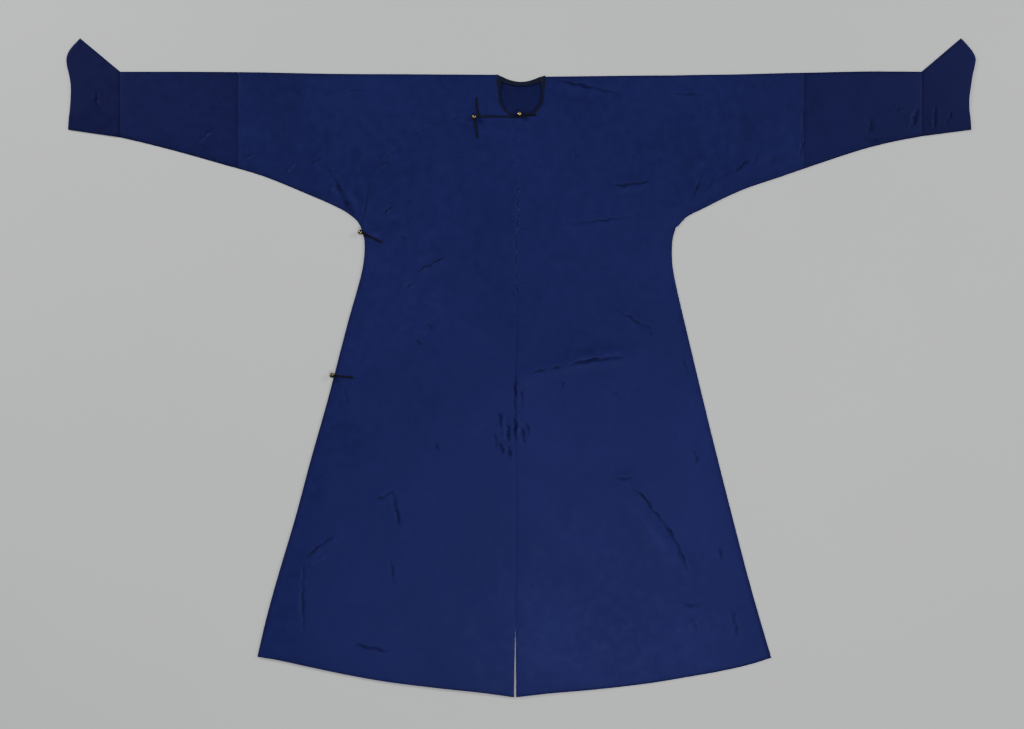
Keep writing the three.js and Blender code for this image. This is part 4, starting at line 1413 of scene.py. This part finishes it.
def stitchTree():
    tree = bpy.data.node_groups.new("hand_stitches", "GeometryNodeTree")
    face = tree.interface
    face.new_socket("Geometry", in_out="INPUT", socket_type="NodeSocketGeometry")
    for label in ("Spacing", "Stitch Length", "Thickness", "Uneven"):
        face.new_socket(label, in_out="INPUT", socket_type="NodeSocketFloat")
    face.new_socket("Seed", in_out="INPUT", socket_type="NodeSocketInt")
    face.new_socket("Thread", in_out="INPUT", socket_type="NodeSocketMaterial")
    face.new_socket("Geometry", in_out="OUTPUT", socket_type="NodeSocketGeometry")
    start = tree.nodes.new("NodeGroupInput")
    end = tree.nodes.new("NodeGroupOutput")
    line = tree.nodes.new("GeometryNodeMeshToCurve")
    points = addNode(tree, "GeometryNodeCurveToPoints", {"mode": "LENGTH"})
    ball = addNode(tree, "GeometryNodeMeshUVSphere", None, {"Segments": 6, "Rings": 5, "Radius": 0.5})
    size = tree.nodes.new("ShaderNodeCombineXYZ")
    shape = tree.nodes.new("GeometryNodeTransform")
    less = addNode(tree, "ShaderNodeMath", {"operation": "SUBTRACT"}, {0: 1.0})
    share = addNode(tree, "FunctionNodeRandomValue", {"data_type": "FLOAT"}, {"Max": 1.0})
    place = tree.nodes.new("GeometryNodeInstanceOnPoints")
    real = tree.nodes.new("GeometryNodeRealizeInstances")
    smoothed = tree.nodes.new("GeometryNodeSetShadeSmooth")
    cover = tree.nodes.new("GeometryNodeSetMaterial")
    joinNodes(tree, (start, "Geometry", line, "Mesh"), (line, "Curve", points, "Curve"),
              (start, "Spacing", points, "Length"), (start, "Thickness", size, "X"),
              (start, "Thickness", size, "Y"), (start, "Stitch Length", size, "Z"),
              (ball, "Mesh", shape, "Geometry"), (size, "Vector", shape, "Scale"),
              (start, "Uneven", less, 1), (start, "Seed", share, "Seed"),
              (less, 0, share, 2), (share, 1, place, "Scale"),
              (points, "Points", place, "Points"), (points, "Rotation", place, "Rotation"),
              (shape, "Geometry", place, "Instance"), (place, "Instances", real, "Geometry"),
              (real, "Geometry", smoothed, "Geometry"), (smoothed, "Geometry", cover, "Geometry"),
              (start, "Thread", cover, "Material"), (cover, "Geometry", end, "Geometry"))
    return tree


def sewLines(name, lines, s, tree, material):
    verts, edges = [], []
    for line in lines:
        first = len(verts)
        verts += [tuple(float(c) * toMetres for c in p) for p in line]
        edges += [(first + k, first + k + 1) for k in range(len(line) - 1)]
    guide = newPiece(name + "_lines", verts, [], edges)
    modifier = guide.modifiers.new("stitches", "NODES")
    modifier.node_group = tree
    names = {item.name: item.identifier for item in tree.interface.items_tree if item.in_out == "INPUT"}
    for label, key in (("Spacing", "spacing"), ("Stitch Length", "length"), ("Thickness", "thick")):
        modifier[names[label]] = s[key] * toMetres
    modifier[names["Uneven"]] = s["uneven"]
    modifier[names["Seed"]] = s["seed"]
    modifier[names["Thread"]] = material
    bpy.context.view_layer.update()
    ready = guide.evaluated_get(bpy.context.evaluated_depsgraph_get())
    made = bpy.data.meshes.new_from_object(ready)
    guide.modifiers.remove(modifier)
    bpy.data.objects.remove(guide)
    made.name = name
    return linkPiece(name, made)


def onCloth(xs, ys, height, lift=0.06):
    xs, ys = np.asarray(xs, float), np.asarray(ys, float)
    return np.stack([xs, ys, height(xs, ys) + lift], 1)


# how far in from each edge or seam the thread runs
sewnAt = {"hem": 6.0, "vent": 4.5, "flank": 5.5, "sleeve": 2.4, "mouth": 6.0, "overlap": 5.0, "centre": 1.5}


def edgeLines(s):
    lines = []
    for side, height in ((1, leftShown), (-1, overlapShown)):
        out = np.linspace(0.02, 0.985, 240)
        y = hemAt(side, out) + s["hem"]
        lines.append(onCloth(mix(centreEdge(side, y), sideEdge(side, y), out), y, height))
        y = np.linspace(robe["hemDrop"] + 12, robe["ventTop"] + 4, 60)
        lines.append(onCloth(centreEdge(side, y) + side * s["vent"], y, height))
        y = np.linspace(robe["armpitLine"] - 14, float(hemAt(side, 1.0)) + 12, 260)
        lines.append(onCloth(sideEdge(side, y) - side * s["flank"], y, height))
    for side, body in ((1, leftShown), (-1, rightShown)):
        front = tubeFront(side)
        for seam, inner in ((robe["bodySeam"], body), (robe["cuffSeam"], front)):
            for x, height in ((seam - s["sleeve"], inner), (seam + s["sleeve"], front)):
                low, high = float(sleeveUnder(side, x)), float(sleeveTop(side, x))
                y = np.linspace(low + 5, high - 7, 60)
                lines.append(onCloth(side * x + 0 * y, y, height))
        part = np.linspace(0.02, 0.97, 90)
        mouth = readTable(mouthTable, "part", sideName(side), part)
        y = readTable(mouthTable, "part", "y", part)
        lines.append(onCloth(side * (mouth - s["mouth"]), y, front))
    out = np.linspace(112, 358, 130)
    lines.append(onCloth(-out, overlapEdge(out) - s["overlap"], overlapShown))
    return lines


def centreLines(s):
    # the centre seam's stitches show at the chest and waist, and lie sunk elsewhere
    y = np.linspace(-570, 560, 500)
    shows = smooth((y + 60) / 60) * smooth((430 - y) / 50)
    return [onCloth(centreEdge(side, y) + side * s["centre"], y, height, mix(-0.06, 0.1, shows))
            for side, height in ((1, leftShown), (-1, overlapShown))]


def tyingLines():
    # each tying is one short stitch over a loop's two cords
    lines = []
    for name, f in fastenings.items():
        (x, y), (ux, uy, length) = f["at"], heading(f["at"], f["to"])
        steps = int((length - 12) / 5.2)
        for k in range(steps + 1):
            along = mix(8.5, length - 5.0, k / max(1, steps))
            bent = f["hook"] * smooth(along / length * 1.2) * along / length
            cx, cy = x + ux * along - uy * bent, y + uy * along + ux * bent
            top = overCloth(f)(cx, cy) + 2 * cord["radius"] * cord["height"] - 0.04
            lines.append([(cx, cy, top), (cx - uy, cy + ux, top)])
    return lines


tree = stitchTree()
stitches = sewLines("edge_stitches", edgeLines(sewnAt), sewing, tree, finishes["thread"])
seamStitches = sewLines("centre_stitches", centreLines(sewnAt), seamSewing, tree, finishes["thread"])
loopStitches = sewLines("loop_stitches", tyingLines(), tyings, tree, finishes["thread"])
print("stage: stitches", [len(piece.data.polygons) for piece in (stitches, seamStitches, loopStitches)])


# finish, node, slot and body of each piece
def dress(piece, node, material):
    piece.data.materials.append(material)
    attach(piece, "root")
    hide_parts(node)


for piece, node, slot, finish in (
        (robeLeft, "body_left", "robe_silk", "robe"), (robeRight, "body_right", "robe_silk", "robe"),
        (overlap, "front_overlap", "robe_silk", "robe"), (sleeveLeft, "sleeve_left", "sleeve_silk", "sleeve"),
        (sleeveRight, "sleeve_right", "sleeve_silk", "sleeve"), (cuffLeft, "cuff_left", "cuff_silk", "cuff"),
        (cuffRight, "cuff_right", "cuff_silk", "cuff"), (neckBinding, "neck_binding", "binding", "binding"),
        (edgeBinding, "overlap_binding", "binding", "binding")):
    dress(piece, node, finishes[finish])
for name in fastenings:
    dress(loops[name], f"{name}_loop", finishes["cord"])
    dress(buttons[name], f"{name}_button", finishes["gilt"])
for name, strap in straps.items():
    dress(strap, f"{name}_strap", finishes["cord"])
for piece in (stitches, seamStitches, loopStitches):
    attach(piece, "root")


# pale floor and soft studio light
studio = {
    "floor": (214, 215, 215), "floorHalf": 14.0, "world": 0.26,
    "lights": [
        {"name": "key", "at": (0.45, -1.4, 3.6), "size": 1.1, "power": 49.0},
        {"name": "rake", "at": (-3.4, 2.6, 2.3), "size": 1.2, "power": 120.0},
        {"name": "fill", "at": (3.4, 1.6, 2.9), "size": 2.2, "power": 80.0},
    ],
}


def makeStudio(s):
    half = s["floorHalf"]
    corners = [(-half, -half, 0), (half, -half, 0), (half, half, 0), (-half, half, 0)]
    floor = newPiece("floor", corners, [(0, 1, 2, 3)])
    material, tree, shader, place = newMaterial("pale_floor")
    grain = addNoise(tree, place, 2.0, 3.0)
    paint = addNode(tree, "ShaderNodeMix", {"data_type": "RGBA", "blend_type": "MULTIPLY"},
                    {"Factor": 1.0, 6: shade(*s["floor"])})
    joinNodes(tree, (addRange(tree, grain, 0.0, 1.0, 0.97, 1.03), "Result", paint, 7),
              (paint, 2, shader, "Base Color"))
    setInputs(shader, {"Roughness": 0.8})
    floor.data.materials.append(material)
    for spec in s["lights"]:
        data = bpy.data.lights.new(spec["name"], "AREA")
        data.shape = "DISK"
        data.size = spec["size"]
        data.energy = spec["power"]
        lamp = bpy.data.objects.new(spec["name"], data)
        lamp.location = spec["at"]
        lamp.rotation_euler = (-Vector(spec["at"])).to_track_quat("-Z", "Y").to_euler()
        bpy.context.scene.collection.objects.link(lamp)
    world = bpy.data.worlds.new("studio")
    world.use_nodes = True
    world.node_tree.nodes["Background"].inputs["Color"].default_value = (0.96, 0.98, 1.0, 1)
    world.node_tree.nodes["Background"].inputs["Strength"].default_value = s["world"]
    bpy.context.scene.world = world


makeStudio(studio)
print("stage: studio")
